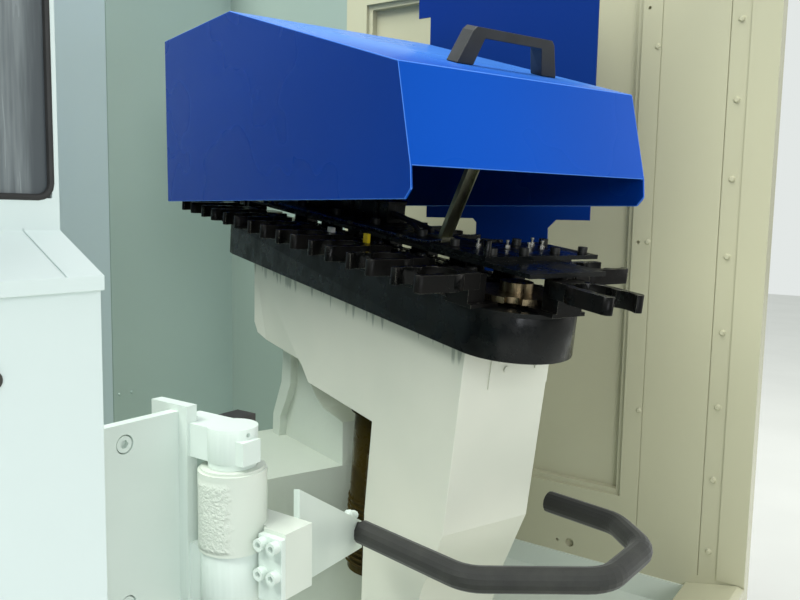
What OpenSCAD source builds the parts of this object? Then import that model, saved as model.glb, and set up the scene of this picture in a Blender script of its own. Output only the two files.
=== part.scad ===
// Vertical machining centre with a travelling column on the left and an open tool magazine bay
// on the right. The origin is on the floor, under the middle of the whole machine.
// X runs to the right, Y runs to the back and Z runs up. All sizes are in millimetres.

/* [Machine] */
// Width of the whole machine
machine_w = 2600; // [2560:10:2700]
// Depth of the whole machine, from the bay sill to the back of the electrical cabinet
machine_d = 1900; // [1880:10:2000]
// Height of the whole machine
machine_h = 2100; // [2060:10:2200]
// Height of the bed casting's top
bed_top = 470; // [460:1:475]
// Height of the levelling feet under the bed
foot_h = 70; // [60:1:80]
// Thickness of the painted sheet on walls and doors
sheet_t = 12; // [10:1:14]
// Distance from the machine's front to the front panel of the work area
panel_setback = 130; // [125:1:135]
// Distance from the machine's front to the back wall of the work area
back_wall_y = 1485; // [1480:1:1495]
// Distance of the front panel's right edge left of the middle
post_edge = 112; // [108:1:116]
// Height of the front ledge under the doors
ledge_z = 1286; // [1280:1:1290]

/* [Axes] */
// Middle of the column, measured left from the machine's middle
column_x = 700; // [690:1:710]
// Width of the column
column_w = 380; // [370:2:390]
// Height of the rails above their shoulders
rail_h = 30; // [28:1:32]
// Width of a rail
rail_w = 45; // [40:1:50]
// Width of the spindle head
head_w = 240; // [230:2:250]
// Diameter of the spindle nose
spindle_d = 120; // [110:1:130]
// Running clearance between guides
run_gap = 0.3; // [0.2:0.05:0.4]

/* [Work table] */
// Length of the table
table_l = 700; // [690:2:720]
// Depth of the table
table_w = 340; // [330:2:350]
// Thickness of the table
table_t = 60; // [56:1:66]
// Number of T slots
slots = 4; // [3:1:4]
// Width of a T slot's throat
slot_w = 14; // [12:1:16]

/* [Magazine] */
// Place of the magazine's front wheel from the middle, to the right
mag_x = 588; // [584:1:592]
// Place of the magazine's front wheel line from the middle, to the front
mag_y = 720; // [716:1:724]
// Turn of the magazine away from the machine's depth
mag_turn = 21; // [20.5:0.1:21.5]
// Rise of the magazine towards its back
mag_rise = 6.5; // [6.3:0.1:6.7]
// Height of the housing's underside at its front
mag_z = 1123; // [1120:1:1126]
// Distance between two pockets along the chain
pitch = 113; // [112:0.5:114]
// Number of chain pitches between the wheels
runs = 7; // [7:1:7]
// Radius of the housing's round ends
housing_r = 86; // [84:0.5:88]
// Height of the housing
housing_h = 66; // [64:1:68]
// Reach of a fork from the chain line
fork_reach = 110; // [106:1:112]
// Thickness of a fork
fork_t = 22; // [20:0.5:22]
// Width of a fork over both fingers
fork_w = 68; // [66:1:70]
// Width of the top plate
top_plate_w = 136; // [130:2:140]
// Thickness of the top plate
top_plate_t = 6; // [5:0.5:8]
// Height of the top plate over the deck
top_plate_gap = 50; // [46:1:52]

/* [Stand] */
// Width of the stand
stand_w = 165; // [160:1:170]
// Offset of the stand to the right of the chain
stand_shift = 21.5; // [20:0.5:23]
// Width of the pillar under the stand's arm
pillar_w = 90; // [84:2:100]

/* [Cover] */
// Width of the magazine cover
cover_w = 416; // [412:1:420]
// Thickness of the cover's sheet
cover_t = 3; // [2.5:0.5:3.5]
// Height of the cover's lower edge
cover_z = 1318; // [1316:1:1322]
// Height of the cover's flat roof over its lower edge
cover_h = 326; // [320:1:332]
// Diameter of the cover's hinge pins
cover_pin = 8; // [7:0.5:9]
// Distance between the handle's feet
handle_l = 200; // [190:2:210]
// Height of the handle
handle_h = 52; // [48:1:56]

/* [Swing arm] */
// Place of the hinge pin from the middle, to the right
hinge_x = 193; // [191:1:195]
// Place of the hinge pin from the middle, to the front
hinge_y = 606; // [604:1:608]
// Diameter of the hinge barrel
barrel_d = 76; // [74:1:78]
// Length of the hinge barrel
barrel_h = 92; // [90:1:94]
// Height of the barrel's lower end
barrel_z = 929; // [927:1:931]
// Diameter of the hinge pin
pin_d = 25; // [22:1:28]
// Radial clearance round the hinge pins
pin_gap = 0.05; // [0.03:0.01:0.08]
// Height of the handle tube's middle
tube_z = 831; // [829:1:833]
// Diameter of the foam sleeve
foam_d = 35; // [33:0.5:36]
// Diameter of the steel tube inside the foam
tube_d = 22; // [20:0.5:24]
// Bend radius of the handle tube
tube_bend = 55; // [50:1:60]

/* [Hidden] */
$fn = 64;

e = 0.01;
left = -machine_w / 2;
right = machine_w / 2;
front = -machine_d / 2;
back = machine_d / 2;
panel_y = front + panel_setback;
rear_y = front + back_wall_y;
edge_x = -post_edge;
wall_x = right - 39;

// A block between two opposite corners
module block(a, b) {
    translate(a) cube([b[0] - a[0], b[1] - a[1], b[2] - a[2]]);
}

// A round bar between two points that lie on one axis direction
module bar_x(x0, x1, y, z, d) {
    translate([x0, y, z]) rotate([0, 90, 0]) cylinder(d = d, h = x1 - x0);
}

module bar_y(y0, y1, x, z, d) {
    translate([x, y0, z]) rotate([-90, 0, 0]) cylinder(d = d, h = y1 - y0);
}

// A profile drawn in Y and Z, drawn out along X
module profile_x(x0, x1) {
    translate([x0, 0, 0]) rotate([90, 0, 90]) linear_extrude(x1 - x0) children();
}

// A hexagon socket screw head with its axis along Z and its seat at zero
module cap_head(d, h) {
    difference() {
        cylinder(d = d, h = h, $fn = 32);
        translate([0, 0, h * 0.4]) cylinder(d = d * 0.55, h = h, $fn = 6);
    }
}

// Bed, rails and feet
bed_x = wall_x - 21;
bed_y0 = panel_y + 60;
bed_y1 = rear_y - sheet_t;
shoulder_z = 700;
rail_y = [rear_y - 445, rear_y - 145];
shoulder_half = 50;
shoulder_x0 = left + 100;
shoulder_x1 = 420;
pedestal_y = 540 - rail_y[0];
table_top = 860;
pocket_w = 200;
pocket_h = 80;
pocket_x = 500;
skirt_z = foot_h + pocket_h + 10;
ear_x = [-20, 148];
ear_y = [-537, -447];
ear_z = 1030;

module base_bed() {
    color("#8f958e") difference() {
        union() {
            block([-bed_x, bed_y0, foot_h], [bed_x, bed_y1, bed_top]);
            for (y = rail_y)
                block([shoulder_x0, y - shoulder_half, bed_top - e],
                    [shoulder_x1, y + shoulder_half, shoulder_z]);
            block([-column_x - table_l / 2 + 40, -pedestal_y - table_w / 2 + 30, bed_top - e],
                [-column_x + table_l / 2 - 40, -pedestal_y + table_w / 2 - 30,
                table_top - table_t]);
            block([ear_x[0], ear_y[0], bed_top - e], [ear_x[1], ear_y[1], ear_z]);
        }
        for (x = [-pocket_x, pocket_x])
            block([x - pocket_w / 2, bed_y0 - 1, foot_h - 1],
                [x + pocket_w / 2, bed_y1 + 1, foot_h + pocket_h]);
    }
}

foot_x = 1120;
foot_y = 520;

module levelling_feet() {
    color("#3c3e3f") for (x = [-foot_x, 0, foot_x], y = [-foot_y - 60, foot_y - 80])
        translate([x, y, 0]) {
            cylinder(d = 110, h = 22);
            translate([0, 0, 22]) cylinder(d = 60, h = 16);
            translate([0, 0, 38]) cylinder(d = 30, h = foot_h - 38);
        }
}

module x_rails() {
    color("#9aa0a3") for (y = rail_y)
        translate([0, y, shoulder_z]) profile_x(shoulder_x0 + 20, shoulder_x1 - 20)
            polygon([[-rail_w / 2, 0], [rail_w / 2, 0], [rail_w / 2, rail_h * 0.4],
                [rail_w / 2 - 6, rail_h * 0.55], [rail_w / 2 - 6, rail_h * 0.7],
                [rail_w / 2, rail_h * 0.85], [rail_w / 2, rail_h], [-rail_w / 2, rail_h],
                [-rail_w / 2, rail_h * 0.85], [-rail_w / 2 + 6, rail_h * 0.7],
                [-rail_w / 2 + 6, rail_h * 0.55], [-rail_w / 2, rail_h * 0.4]]);
}

slot_head_w = 24;
slot_head_h = 11;
slot_throat = 12;

module work_table() {
    step = table_w / slots;
    color("#7d8285") translate([-column_x, -pedestal_y, table_top - table_t]) difference() {
        block([-table_l / 2, -table_w / 2, 0], [table_l / 2, table_w / 2, table_t]);
        for (i = [0:slots - 1]) translate([0, (i - (slots - 1) / 2) * step, 0]) {
            block([-table_l, -slot_w / 2, table_t - slot_throat - slot_head_h],
                [table_l, slot_w / 2, table_t + 1]);
            block([-table_l, -slot_head_w / 2, table_t - slot_throat - slot_head_h],
                [table_l, slot_head_w / 2, table_t - slot_throat]);
        }
    }
}

// Enclosure round the bay
floor_t = 10;
kick_h = 50;
sill_y = front + 115;
sill_z = 560;

module bay_floor() {
    z0 = bed_top;
    z1 = bed_top + floor_t;
    color("#c9cec4") difference() {
        union() {
            block([edge_x, sill_y, z0], [wall_x, rear_y, z1]);
            block([wall_x - 4, sill_y, z0], [wall_x, rear_y, z1 + kick_h]);
            block([shoulder_x1 + 4, rear_y - 4, z0], [wall_x, rear_y, z1 + kick_h]);
        }
        for (y = rail_y)
            block([edge_x - 1, y - shoulder_half - 1, z0 - 1],
                [shoulder_x1 + 1, y + shoulder_half + 1, z1 + kick_h + 1]);
        block([ear_x[0] - 1, ear_y[0] - 1, z0 - 1], [ear_x[1] + 1, ear_y[1] + 1, z1 + 1]);
    }
}

module bay_sill() {
    color("#c3c3a6") translate([edge_x, 0, 0]) profile_x(0, wall_x - edge_x) polygon([
        [front, skirt_z], [sill_y, skirt_z], [sill_y, sill_z - 22], [front + 12, sill_z],
        [front, sill_z - 6]]);
}

// Right wall: two flat strips, a seam and a framed recess with a bevelled edge
recess_y = [front + 266, rear_y - 500];
recess_z = [691, machine_h - 268];
recess_edge = 12;
recess_depth = 28;
strip_w = 54;
seam_y = front + 92;
flange_y = front + 230;
strip_bolts = 9;
strip_bolt_z = 616;
strip_pitch = (machine_h - strip_bolt_z - 260) / (strip_bolts - 1);

module right_wall() {
    color("#b5b295") difference() {
        union() {
            block([wall_x, front, foot_h], [right, rear_y + sheet_t, machine_h - 60]);
            block([wall_x - 4, front, sill_z + 1], [wall_x + e, front + strip_w, machine_h - 60]);
            for (i = [0:strip_bolts - 1])
                translate([wall_x + e, front + 73, strip_bolt_z + i * strip_pitch])
                    rotate([0, -90, 0]) cylinder(d1 = 13, d2 = 8, h = 5, $fn = 24);
            for (z = [890, 1252, 1652])
                translate([wall_x + e, flange_y + 3, z])
                    rotate([0, -90, 0]) cylinder(d1 = 12, d2 = 7, h = 4, $fn = 24);
        }
        block([wall_x - 1, seam_y - 1, sill_z], [wall_x + 3, seam_y + 1, machine_h]);
        block([wall_x - 1, flange_y - 6, sill_z], [wall_x + 2, flange_y - 4, machine_h]);
        block([wall_x - 5, recess_y[0], recess_z[0]],
            [wall_x + 10, recess_y[1], recess_z[1]]);
        block([wall_x - 5, recess_y[0] + recess_edge, recess_z[0] + recess_edge],
            [wall_x + recess_depth, recess_y[1] - recess_edge, recess_z[1] - recess_edge]);
        bar_x(wall_x - 1, wall_x + 12, front + 377, 556, 20);
        bar_x(wall_x - 1, wall_x + 8, front + 407, 556, 7);
        bar_x(wall_x - 1, wall_x + 8, front + 253, 1251, 7);
        bar_x(wall_x - 1, wall_x + 8, front + 253, 1731, 7);
    }
}

wall_seam_x = wall_x - 420;

module back_wall() {
    color("#9aa594") difference() {
        union() {
            block([left + 40, rear_y, skirt_z], [wall_x, rear_y + sheet_t, machine_h - 60]);
            for (x = [860, 898])
                translate([x, rear_y, 812]) rotate([90, 0, 0])
                    cylinder(d1 = 9, d2 = 6, h = 3, $fn = 24);
        }
        block([wall_seam_x - 1.5, rear_y - 1, bed_top], [wall_seam_x + 1.5, rear_y + 2, machine_h]);
    }
}

module left_wall() {
    color("#d5dcd2")
        block([left, panel_y + 60, foot_h], [left + 40, rear_y + sheet_t, machine_h - 60]);
}

partition_low = 1000;
partition_y = [panel_y + 130, panel_y + 590];

module partition() {
    color("#b9bfb4") translate([edge_x - 18, 0, 0]) profile_x(0, sheet_t) polygon([
        [panel_y + 60, bed_top], [partition_y[1], bed_top], [partition_y[1], partition_low],
        [partition_y[0], partition_low], [partition_y[0], machine_h - 60],
        [panel_y + 60, machine_h - 60]]);
}

// Front of the work area: lower panel, sloped ledge and post
ledge_drop = 26;
ledge_d = 43;
ledge_lip = 9;
door_ends = [left + 310, edge_x - 308];
door_x = [door_ends[0], (door_ends[0] + door_ends[1]) / 2, door_ends[1]];
window_z = [1306, machine_h - 140];
frame_top = machine_h - 60;

module front_panel() {
    y0 = panel_y;
    y1 = panel_y + ledge_d;
    color("#e3ebe6") difference() {
        union() {
            profile_x(left, edge_x) polygon([
                [y0 + 2, skirt_z], [y0 + 2, ledge_z - ledge_drop - ledge_lip],
                [y0 - 2, ledge_z - ledge_drop - ledge_lip], [y0 - 2, ledge_z - ledge_drop],
                [y1, ledge_z], [y1 + 17, ledge_z], [y1 + 17, ledge_z - 24],
                [y0 + 14, ledge_z - ledge_drop - 20], [y0 + 14, skirt_z]]);
            block([door_x[2] + 6, y1, ledge_z - e], [edge_x, y1 + 17, frame_top]);
            block([left, y1 + 5, ledge_z - e], [door_x[0] - 6, y1 + 17, frame_top]);
            for (x = [left, edge_x - sheet_t])
                block([x, y0 + 14 - e, skirt_z], [x + sheet_t, y1 + 17, ledge_z - 24 + e]);
        }
        block([door_x[2] + 45, y1 - 1, window_z[0]], [edge_x - 5, y1 + 20, window_z[1]]);
        block([edge_x - 25, y0 - 3, ledge_z - ledge_drop], [edge_x - 24, y1 + 1, ledge_z + 1]);
    }
}

module front_window() {
    y1 = panel_y + ledge_d;
    color("#3a4046") block([door_x[2] + 45.2, y1 + 2, window_z[0] + 0.2],
        [edge_x - 5.2, y1 + 10, window_z[1] - 0.2]);
}

module top_frame() {
    color("#d5dcd2") {
        block([left, panel_y, frame_top], [right, panel_y + 80, machine_h]);
        block([left, rear_y - 40, frame_top], [right, rear_y + sheet_t, machine_h]);
        block([left, panel_y + 80 - e, frame_top], [left + 80, rear_y - 40 + e, machine_h]);
        block([right - 80, panel_y + 80 - e, frame_top], [right, rear_y - 40 + e, machine_h]);
        block([right - 80, front, frame_top], [right, panel_y + e, machine_h]);
        block([edge_x - 60, panel_y + 80 - e, frame_top], [edge_x, rear_y - 40 + e, machine_h]);
    }
}

// Two doors hang from a rail in front of the fixed panels and stand over a lower guide
door_y = panel_y + 8;
door_t = 28;
door_z = [1292, machine_h - 110];
rail_x0 = left + 6;
rail_x1 = edge_x - 8;

module door_rails() {
    color("#8c9396")
        block([rail_x0, door_y + 4, door_z[1] + run_gap + 8], [rail_x1, door_y + 24, frame_top]);
}

module door_leaf(x0, x1) {
    wx0 = x0 + 50;
    wx1 = x1 - 50;
    difference() {
        union() {
            block([x0, door_y, door_z[0]], [x1, door_y + door_t, door_z[1]]);
            for (x = [x0 + 60, x1 - 60])
                block([x - 20, door_y + 4, door_z[1] - e], [x + 20, door_y + 24, door_z[1] + 8]);
        }
        block([wx0, door_y - 1, door_z[0] + 70], [wx1, door_y + door_t + 1, door_z[1] - 70]);
    }
}

module door_pull(x) {
    z0 = (door_z[0] + door_z[1]) / 2 - 120;
    difference() {
        block([x - 14, door_y - 42, z0], [x + 14, door_y + e, z0 + 240]);
        block([x - 15, door_y - 30, z0 + 14], [x + 15, door_y, z0 + 226]);
    }
}

module door_glass(x0, x1) {
    block([x0 + 50.2, door_y + 8, door_z[0] + 70.2], [x1 - 50.2, door_y + 16, door_z[1] - 70.2]);
}

module left_door() {
    color("#e3ebe6") {
        door_leaf(door_x[0], door_x[1] - 1);
        door_pull(door_x[1] - 26);
    }
}

module right_door() {
    color("#e3ebe6") {
        door_leaf(door_x[1] + 1, door_x[2]);
        door_pull(door_x[1] + 26);
    }
}

module left_door_window() {
    color("#3a4046") door_glass(door_x[0], door_x[1] - 1);
}

module right_door_window() {
    color("#3a4046") door_glass(door_x[1] + 1, door_x[2]);
}

// Electrical cabinet on the back, with one hinged door
cab_x = [-1000, 600];
cab_z = [150, machine_h - 200];
cab_wall = 20;
cab_y0 = rear_y + sheet_t;
cab_y1 = back - 26;
louvre_in = (cab_y1 - cab_y0) * 0.32;

module electrical_cabinet() {
    color("#d5dcd2") difference() {
        block([cab_x[0], cab_y0, cab_z[0]], [cab_x[1], cab_y1, cab_z[1]]);
        block([cab_x[0] + cab_wall, cab_y0 + cab_wall, cab_z[0] + cab_wall],
            [cab_x[1] - cab_wall, cab_y1 + 1, cab_z[1] - cab_wall]);
        for (i = [0:7])
            block([cab_x[1] - cab_wall - 1, cab_y0 + louvre_in, cab_z[1] - 420 + i * 30],
                [cab_x[1] + 1, cab_y1 - louvre_in, cab_z[1] - 408 + i * 30]);
    }
    color("#d5dcd2") for (z = cab_hinge_z) {
        for (dz = [0, 60])
            block([cab_pin[0] - 9, cab_y1 - 16, z + dz], [cab_x[0] + e, cab_pin[1] + 9, z + dz + 20]);
        translate([cab_pin[0], cab_pin[1], z + 20 - e]) cylinder(d = 10, h = 40 + 2 * e);
    }
}

cab_door_gap = 2;
cab_pin = [cab_x[0] - 14, back - 14];
cab_hinge_z = [cab_z[0] + 150, cab_z[1] - 250];

module cabinet_door() {
    color("#dde3da") difference() {
        union() {
            block([cab_x[0] + 1, cab_y1 + cab_door_gap, cab_z[0] + 2],
                [cab_x[1], back, cab_z[1] - 2]);
            for (z = cab_hinge_z)
                block([cab_pin[0] - 8, cab_pin[1] - 8, z + 20 + run_gap],
                    [cab_x[0] + 2, cab_pin[1] + 8, z + 60 - run_gap]);
        }
        for (z = cab_hinge_z) translate([cab_pin[0], cab_pin[1], z])
            cylinder(d = 10 + 2 * pin_gap, h = 80);
        for (z = cab_hinge_z, dz = [0, 60])
            block([cab_x[0] - 1, cab_y1, z + dz - run_gap],
                [cab_x[0] + 3, cab_pin[1] + 9 + run_gap, z + dz + 20 + run_gap]);
    }
}

// Blue guard plate between the magazine and the right wall, on two brackets
guard_x = wall_x - 251;
guard_t = 3;
guard_top = machine_h - 140;
guard_step = guard_top - 254;
guard_back = front + 655;
guard_front = front + 264;
guard_low = 1295;
tongue_y = [front + 348, front + 505];

module guard_plate() {
    color("#17479e") {
        translate([guard_x, 0, 0]) profile_x(0, guard_t) polygon([
            [guard_back, guard_top], [guard_back, guard_step], [guard_back - 29, guard_step],
            [guard_back - 29, guard_low], [tongue_y[1] + 8, guard_low],
            [tongue_y[1], guard_low - 8], [tongue_y[1], 1180], [tongue_y[0], 1180],
            [tongue_y[0], guard_low - 16], [tongue_y[0] - 16, guard_low],
            [guard_front, guard_low], [guard_front, guard_top]]);
        for (z = [guard_top - 510, guard_top - 170])
            block([guard_x + guard_t - e, front + 430, z],
                [wall_x + recess_depth, front + 470, z + 30]);
    }
}

// Swing arm hinge: the fixed bracket with two arms, its pin, and the switch
plate_y = -550;
plate_t = 13;
plate_x = [-30, 186];
plate_z = [858, 1078];
arm_r = 28;
lower_r = 36;
root_x = hinge_x - arm_r + 3;
upper_z = [barrel_z + barrel_h + 7.5, barrel_z + barrel_h + 45];
lower_z = [plate_z[0] + 4, barrel_z - run_gap];
bracket_screw_x = 95;
bracket_screw_z = [880, 1056];

module hinge_bracket() {
    color("#cdd8cb") difference() {
        union() {
            block([plate_x[0], plate_y, plate_z[0]], [plate_x[1], plate_y + plate_t, plate_z[1]]);
            block([root_x - 3.5, plate_y - 14, plate_z[0]], [root_x + 11, plate_y + 46, plate_z[1] + 7]);
            translate([hinge_x, -hinge_y, upper_z[0]])
                cylinder(r = arm_r, h = upper_z[1] - upper_z[0]);
            block([root_x, -hinge_y, upper_z[0]], [hinge_x, plate_y + e, upper_z[1]]);
            block([hinge_x - e, -hinge_y, upper_z[0]],
                [hinge_x + arm_r - 8, plate_y + 20, upper_z[1]]);
            block([hinge_x - 17, -hinge_y - arm_r - 6, upper_z[0]],
                [hinge_x + 9, -hinge_y - 10, upper_z[0] + 26]);
            translate([hinge_x, -hinge_y, lower_z[0]])
                cylinder(r = lower_r, h = lower_z[1] - lower_z[0]);
            block([root_x, -hinge_y, lower_z[0]], [hinge_x, plate_y + e, lower_z[1]]);
        }
        translate([hinge_x, -hinge_y, lower_z[0] - 1])
            cylinder(d = pin_d, h = upper_z[1] - lower_z[0] - 7);
        for (z = bracket_screw_z) {
            bar_y(plate_y - 1, plate_y + plate_t + 1, bracket_screw_x, z, 13);
            bar_y(plate_y - 1, plate_y + 9, bracket_screw_x, z, 21);
        }
        translate([hinge_x - 3, -hinge_y - arm_r + 6, upper_z[1] - 6.5]) rotate([90, 0, 0])
            cylinder(d = 5, h = 10, $fn = 24);
    }
}

module bracket_screws() {
    color("#9ba39a") for (z = bracket_screw_z)
        translate([bracket_screw_x, plate_y + 9, z]) rotate([90, 0, 0]) cap_head(18, 8);
}

module hinge_pin() {
    color("#8d9490") {
        translate([hinge_x, -hinge_y, lower_z[0]])
            cylinder(d = pin_d, h = upper_z[1] - lower_z[0] - 8);
        translate([hinge_x, -hinge_y, barrel_z + barrel_h + run_gap])
            difference() {
                cylinder(d = 54, h = 7);
                translate([0, 0, -1]) cylinder(d = pin_d - e, h = 9);
            }
    }
}

module limit_switch() {
    x0 = hinge_x + arm_r - 8;
    color("#33332f") {
        block([x0, plate_y - 30, upper_z[0] + 2], [x0 + 41, plate_y, upper_z[0] + 34]);
        bar_y(plate_y - 34, plate_y - 30 + e, x0 + 27, upper_z[0] + 18, 18);
    }
}

// The swinging part: barrel with its lug, clamp plate, screws, arm plate and handle tube
lug_x = [hinge_x + 5, hinge_x + 48];
lug_y = [-681, -649];
lug_z = [884, 957];
clamp_t = 7;

module hinge_barrel() {
    color("#cdd8cb") difference() {
        union() {
            translate([hinge_x, -hinge_y, barrel_z]) {
                cylinder(d = barrel_d - 6, h = barrel_h);
                cylinder(d = barrel_d, h = barrel_h - 3);
            }
            block([lug_x[0] + 6, lug_y[1] - e, barrel_z], [lug_x[1], -hinge_y + 4, lug_z[1]]);
            block([lug_x[0], lug_y[0], lug_z[0]], [lug_x[1], lug_y[1], lug_z[1]]);
        }
        translate([hinge_x, -hinge_y, barrel_z - 1])
            cylinder(d = pin_d + 2 * pin_gap, h = barrel_h + 2);
    }
}

module clamp_plate() {
    color("#d3dcd0") block([lug_x[0] - clamp_t, lug_y[0] - 1, lug_z[0] - 6],
        [lug_x[0], lug_y[1] + 2, lug_z[1] - 4]);
}

module clamp_screws() {
    color("#c6cfc4") for (y = [-655, -674], z = [911, 944])
        translate([lug_x[0] - clamp_t, y, z]) rotate([0, -90, 0]) cap_head(14, 9);
}

// Route of the handle tube, seen from above, from its welded end to its free end
tube_route = [[507, -497], [455, -758], [563, -907], [688, -915], [757, -850], [783, -727]];
foam_start = 62;
bend_steps = 5;
sweep_sides = 16;
weld_gap = 0.2;
arm_turn = 24.2;
arm_start = [lug_x[1] + 2.5, -652];
arm_plate_t = 8;

function heading(i) = atan2(tube_route[i + 1][1] - tube_route[i][1],
    tube_route[i + 1][0] - tube_route[i][0]);
function turn_at(i) = let (d = heading(i) - heading(i - 1)) d > 180 ? d - 360 :
    d < -180 ? d + 360 : d;
function back_off(i) = tube_bend * tan(abs(turn_at(i)) / 2);

// Points and headings along the route: the start, each bend in small steps, and the end
function bend_rings(i) = let (h = heading(i - 1), t = turn_at(i), side = sign(t),
    c = tube_route[i] - back_off(i) * [cos(h), sin(h)] + side * tube_bend * [-sin(h), cos(h)])
    [for (k = [0:bend_steps]) let (g = h + t * k / bend_steps)
        [c - side * tube_bend * [-sin(g), cos(g)], g]];
function tube_rings(from) = concat(
    [[tube_route[0] + from * [cos(heading(0)), sin(heading(0))], heading(0)]],
    [for (i = [1:len(tube_route) - 2]) each bend_rings(i)],
    [[tube_route[len(tube_route) - 1], heading(len(tube_route) - 2)]]);

function ring_points(rings, r) = [for (g = rings) for (k = [0:sweep_sides - 1])
    let (a = k * 360 / sweep_sides)
    [g[0][0] - r * cos(a) * sin(g[1]), g[0][1] + r * cos(a) * cos(g[1]), tube_z + r * sin(a)]];

// Four-sided faces between rings, as two triangles each; flip turns them inside out
function wall_faces(n, base, flip) = [for (j = [0:n - 2], k = [0:sweep_sides - 1])
    let (a = base + j * sweep_sides + k, b = base + j * sweep_sides + (k + 1) % sweep_sides,
        c = b + sweep_sides, d = a + sweep_sides)
    each (flip ? [[a, b, c], [a, c, d]] : [[a, c, b], [a, d, c]])];
function end_ring(base, m) = [for (k = [0:sweep_sides - 1]) let (l = (k + 1) % sweep_sides)
    each [[base + k, base + l, m + k], [base + l, m + l, m + k]]];

// A tube swept along the route, hollow when r_in is given
module bent_bar(r_out, r_in, from) {
    rings = tube_rings(from);
    n = len(rings);
    last = (n - 1) * sweep_sides;
    outer = ring_points(rings, r_out);
    if (r_in > 0) {
        m = n * sweep_sides;
        polyhedron(concat(outer, ring_points(rings, r_in)), concat(
            wall_faces(n, 0, false), wall_faces(n, m, true), end_ring(0, m),
            [for (f = end_ring(last, m + last)) [f[0], f[2], f[1]]]));
    } else {
        polyhedron(outer, concat(wall_faces(n, 0, false),
            [[for (k = [0:sweep_sides - 1]) k]],
            [[for (k = [sweep_sides - 1:-1:0]) last + k]]));
    }
}

module handle_tube() {
    color("#3b3b3b") bent_bar(tube_d / 2, 0, 0);
}

module foam_sleeve() {
    color("#4a4b49") bent_bar(foam_d / 2, tube_d / 2 + 0.1, foam_start);
}

module arm_plate() {
    len0 = norm(tube_route[0] - arm_start);
    color("#d3dcd0") difference() {
        translate([arm_start[0], arm_start[1], 0]) rotate([0, 0, arm_turn]) rotate([90, 0, 0])
            linear_extrude(arm_plate_t) polygon([[-6, 891], [-6, 991], [len0, tube_z + 1],
                [len0, tube_z - 41], [36, 866]]);
        translate([tube_route[0][0], tube_route[0][1], tube_z]) rotate([0, 0, heading(0)])
            rotate([0, 90, 0]) translate([0, 0, -20])
                cylinder(r = tube_d / 2 + weld_gap, h = foam_start + 60);
        block([lug_x[0], lug_y[0] - 9, 800], [lug_x[1], lug_y[1] + 20, 1000]);
    }
}

// Magazine frame: local x across, local y along, with the tilted deck frame inside it
module mag_place() {
    translate([mag_x, -mag_y, 0]) rotate([0, 0, -mag_turn]) children();
}

module mag_deck() {
    mag_place() translate([0, 0, mag_z]) rotate([mag_rise, 0, 0]) children();
}

wheel_u = -30;
rear_u = wheel_u + runs * pitch;
wheel_pockets = 4;
chain_r = pitch / (2 * sin(180 / wheel_pockets));
deck_t = 6;
deck_v = housing_h;
fork_v = deck_v + 0.3;
base_t = 5;
fork_low = deck_v + 24;
fork_top = fork_low + fork_t;
wheel_r = chain_r - 20;
shaft_d = 30;

module stadium(r) {
    translate([0, wheel_u]) circle(r = r, $fn = 96);
    translate([0, rear_u]) circle(r = r, $fn = 96);
    translate([-r, wheel_u]) square([2 * r, rear_u - wheel_u]);
}

// Stand: a folded box leg with an arm that reaches back under the magazine
stand_x0 = stand_shift - stand_w / 2;
arm_end = 702;
arm_under = [[230, 961], [456, 984]];
function deck_under(y) = mag_z + y * tan(mag_rise);

module stand() {
    color("#b9bdae") mag_place() translate([stand_x0, 0, 0]) profile_x(0, stand_w) polygon([
        [-9, deck_under(-9)], [33, 836], [83, 730], [125, 600], [140, bed_top + floor_t],
        [262, bed_top + floor_t], [250, 802], arm_under[0], arm_under[1], [484, 1013],
        [497, 1021], [642, 1038], [685, 1048], [arm_end, 1070],
        [arm_end, deck_under(arm_end)]]);
}

module stand_cover_plate() {
    slope = atan2(42, deck_under(-9) - 836);
    color("#bfc3b6") mag_place() translate([0, -9, deck_under(-9)]) rotate([slope, 0, 0]) {
        translate([-12, -2.2, -68]) cube([114, 2, 52]);
        for (x = [16, 76]) translate([x, -2.2, -40]) rotate([90, 0, 0])
            cylinder(d = 9, h = 3, $fn = 24);
    }
}

pillar_x = 5;

module pillar() {
    color("#a9b1a4") mag_place() translate([pillar_x, 0, 0]) {
        profile_x(0, pillar_w) polygon([
            [438, 720], [438, 902], [517, 914], [547, 932], [618, 996], [622, 1035.4],
            [642, 1037.8], [663, 1042.6], [667, 994], [673, 940], [694, 900], [714, 862],
            [722, 720]]);
        profile_x(-16, 0.01) polygon([
            [628, 1036.2], [642, 1037.8], [663, 1042.6], [667, 994], [673, 940], [694, 900],
            [714, 862], [722, 720], [692, 720], [690, 773], [679, 863], [652, 905], [631, 942]]);
        block([-156, 437, bed_top + floor_t], [pillar_w, 740, 818]);
    }
}

module magazine_housing() {
    color("#1f2122") mag_deck() difference() {
        linear_extrude(housing_h - deck_t) stadium(housing_r);
        translate([0, 0, 5]) linear_extrude(housing_h) stadium(housing_r - 5);
    }
}

module magazine_deck() {
    color("#232527") mag_deck() difference() {
        translate([0, 0, housing_h - deck_t]) linear_extrude(deck_t) stadium(housing_r);
        for (u = [wheel_u, rear_u]) translate([0, u, 0])
            cylinder(d = shaft_d + 2 * pin_gap, h = housing_h + 1);
    }
}

post_u = [60, 200, 340, 480, 620];

plate_v = deck_v + top_plate_gap;
plate_top = plate_v + top_plate_t;
plate_front = wheel_u - 94;
upper_plate_x = [4 - top_plate_w / 2, 150];
upper_plate_u = [wheel_u - 4, wheel_u + 120];

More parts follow.
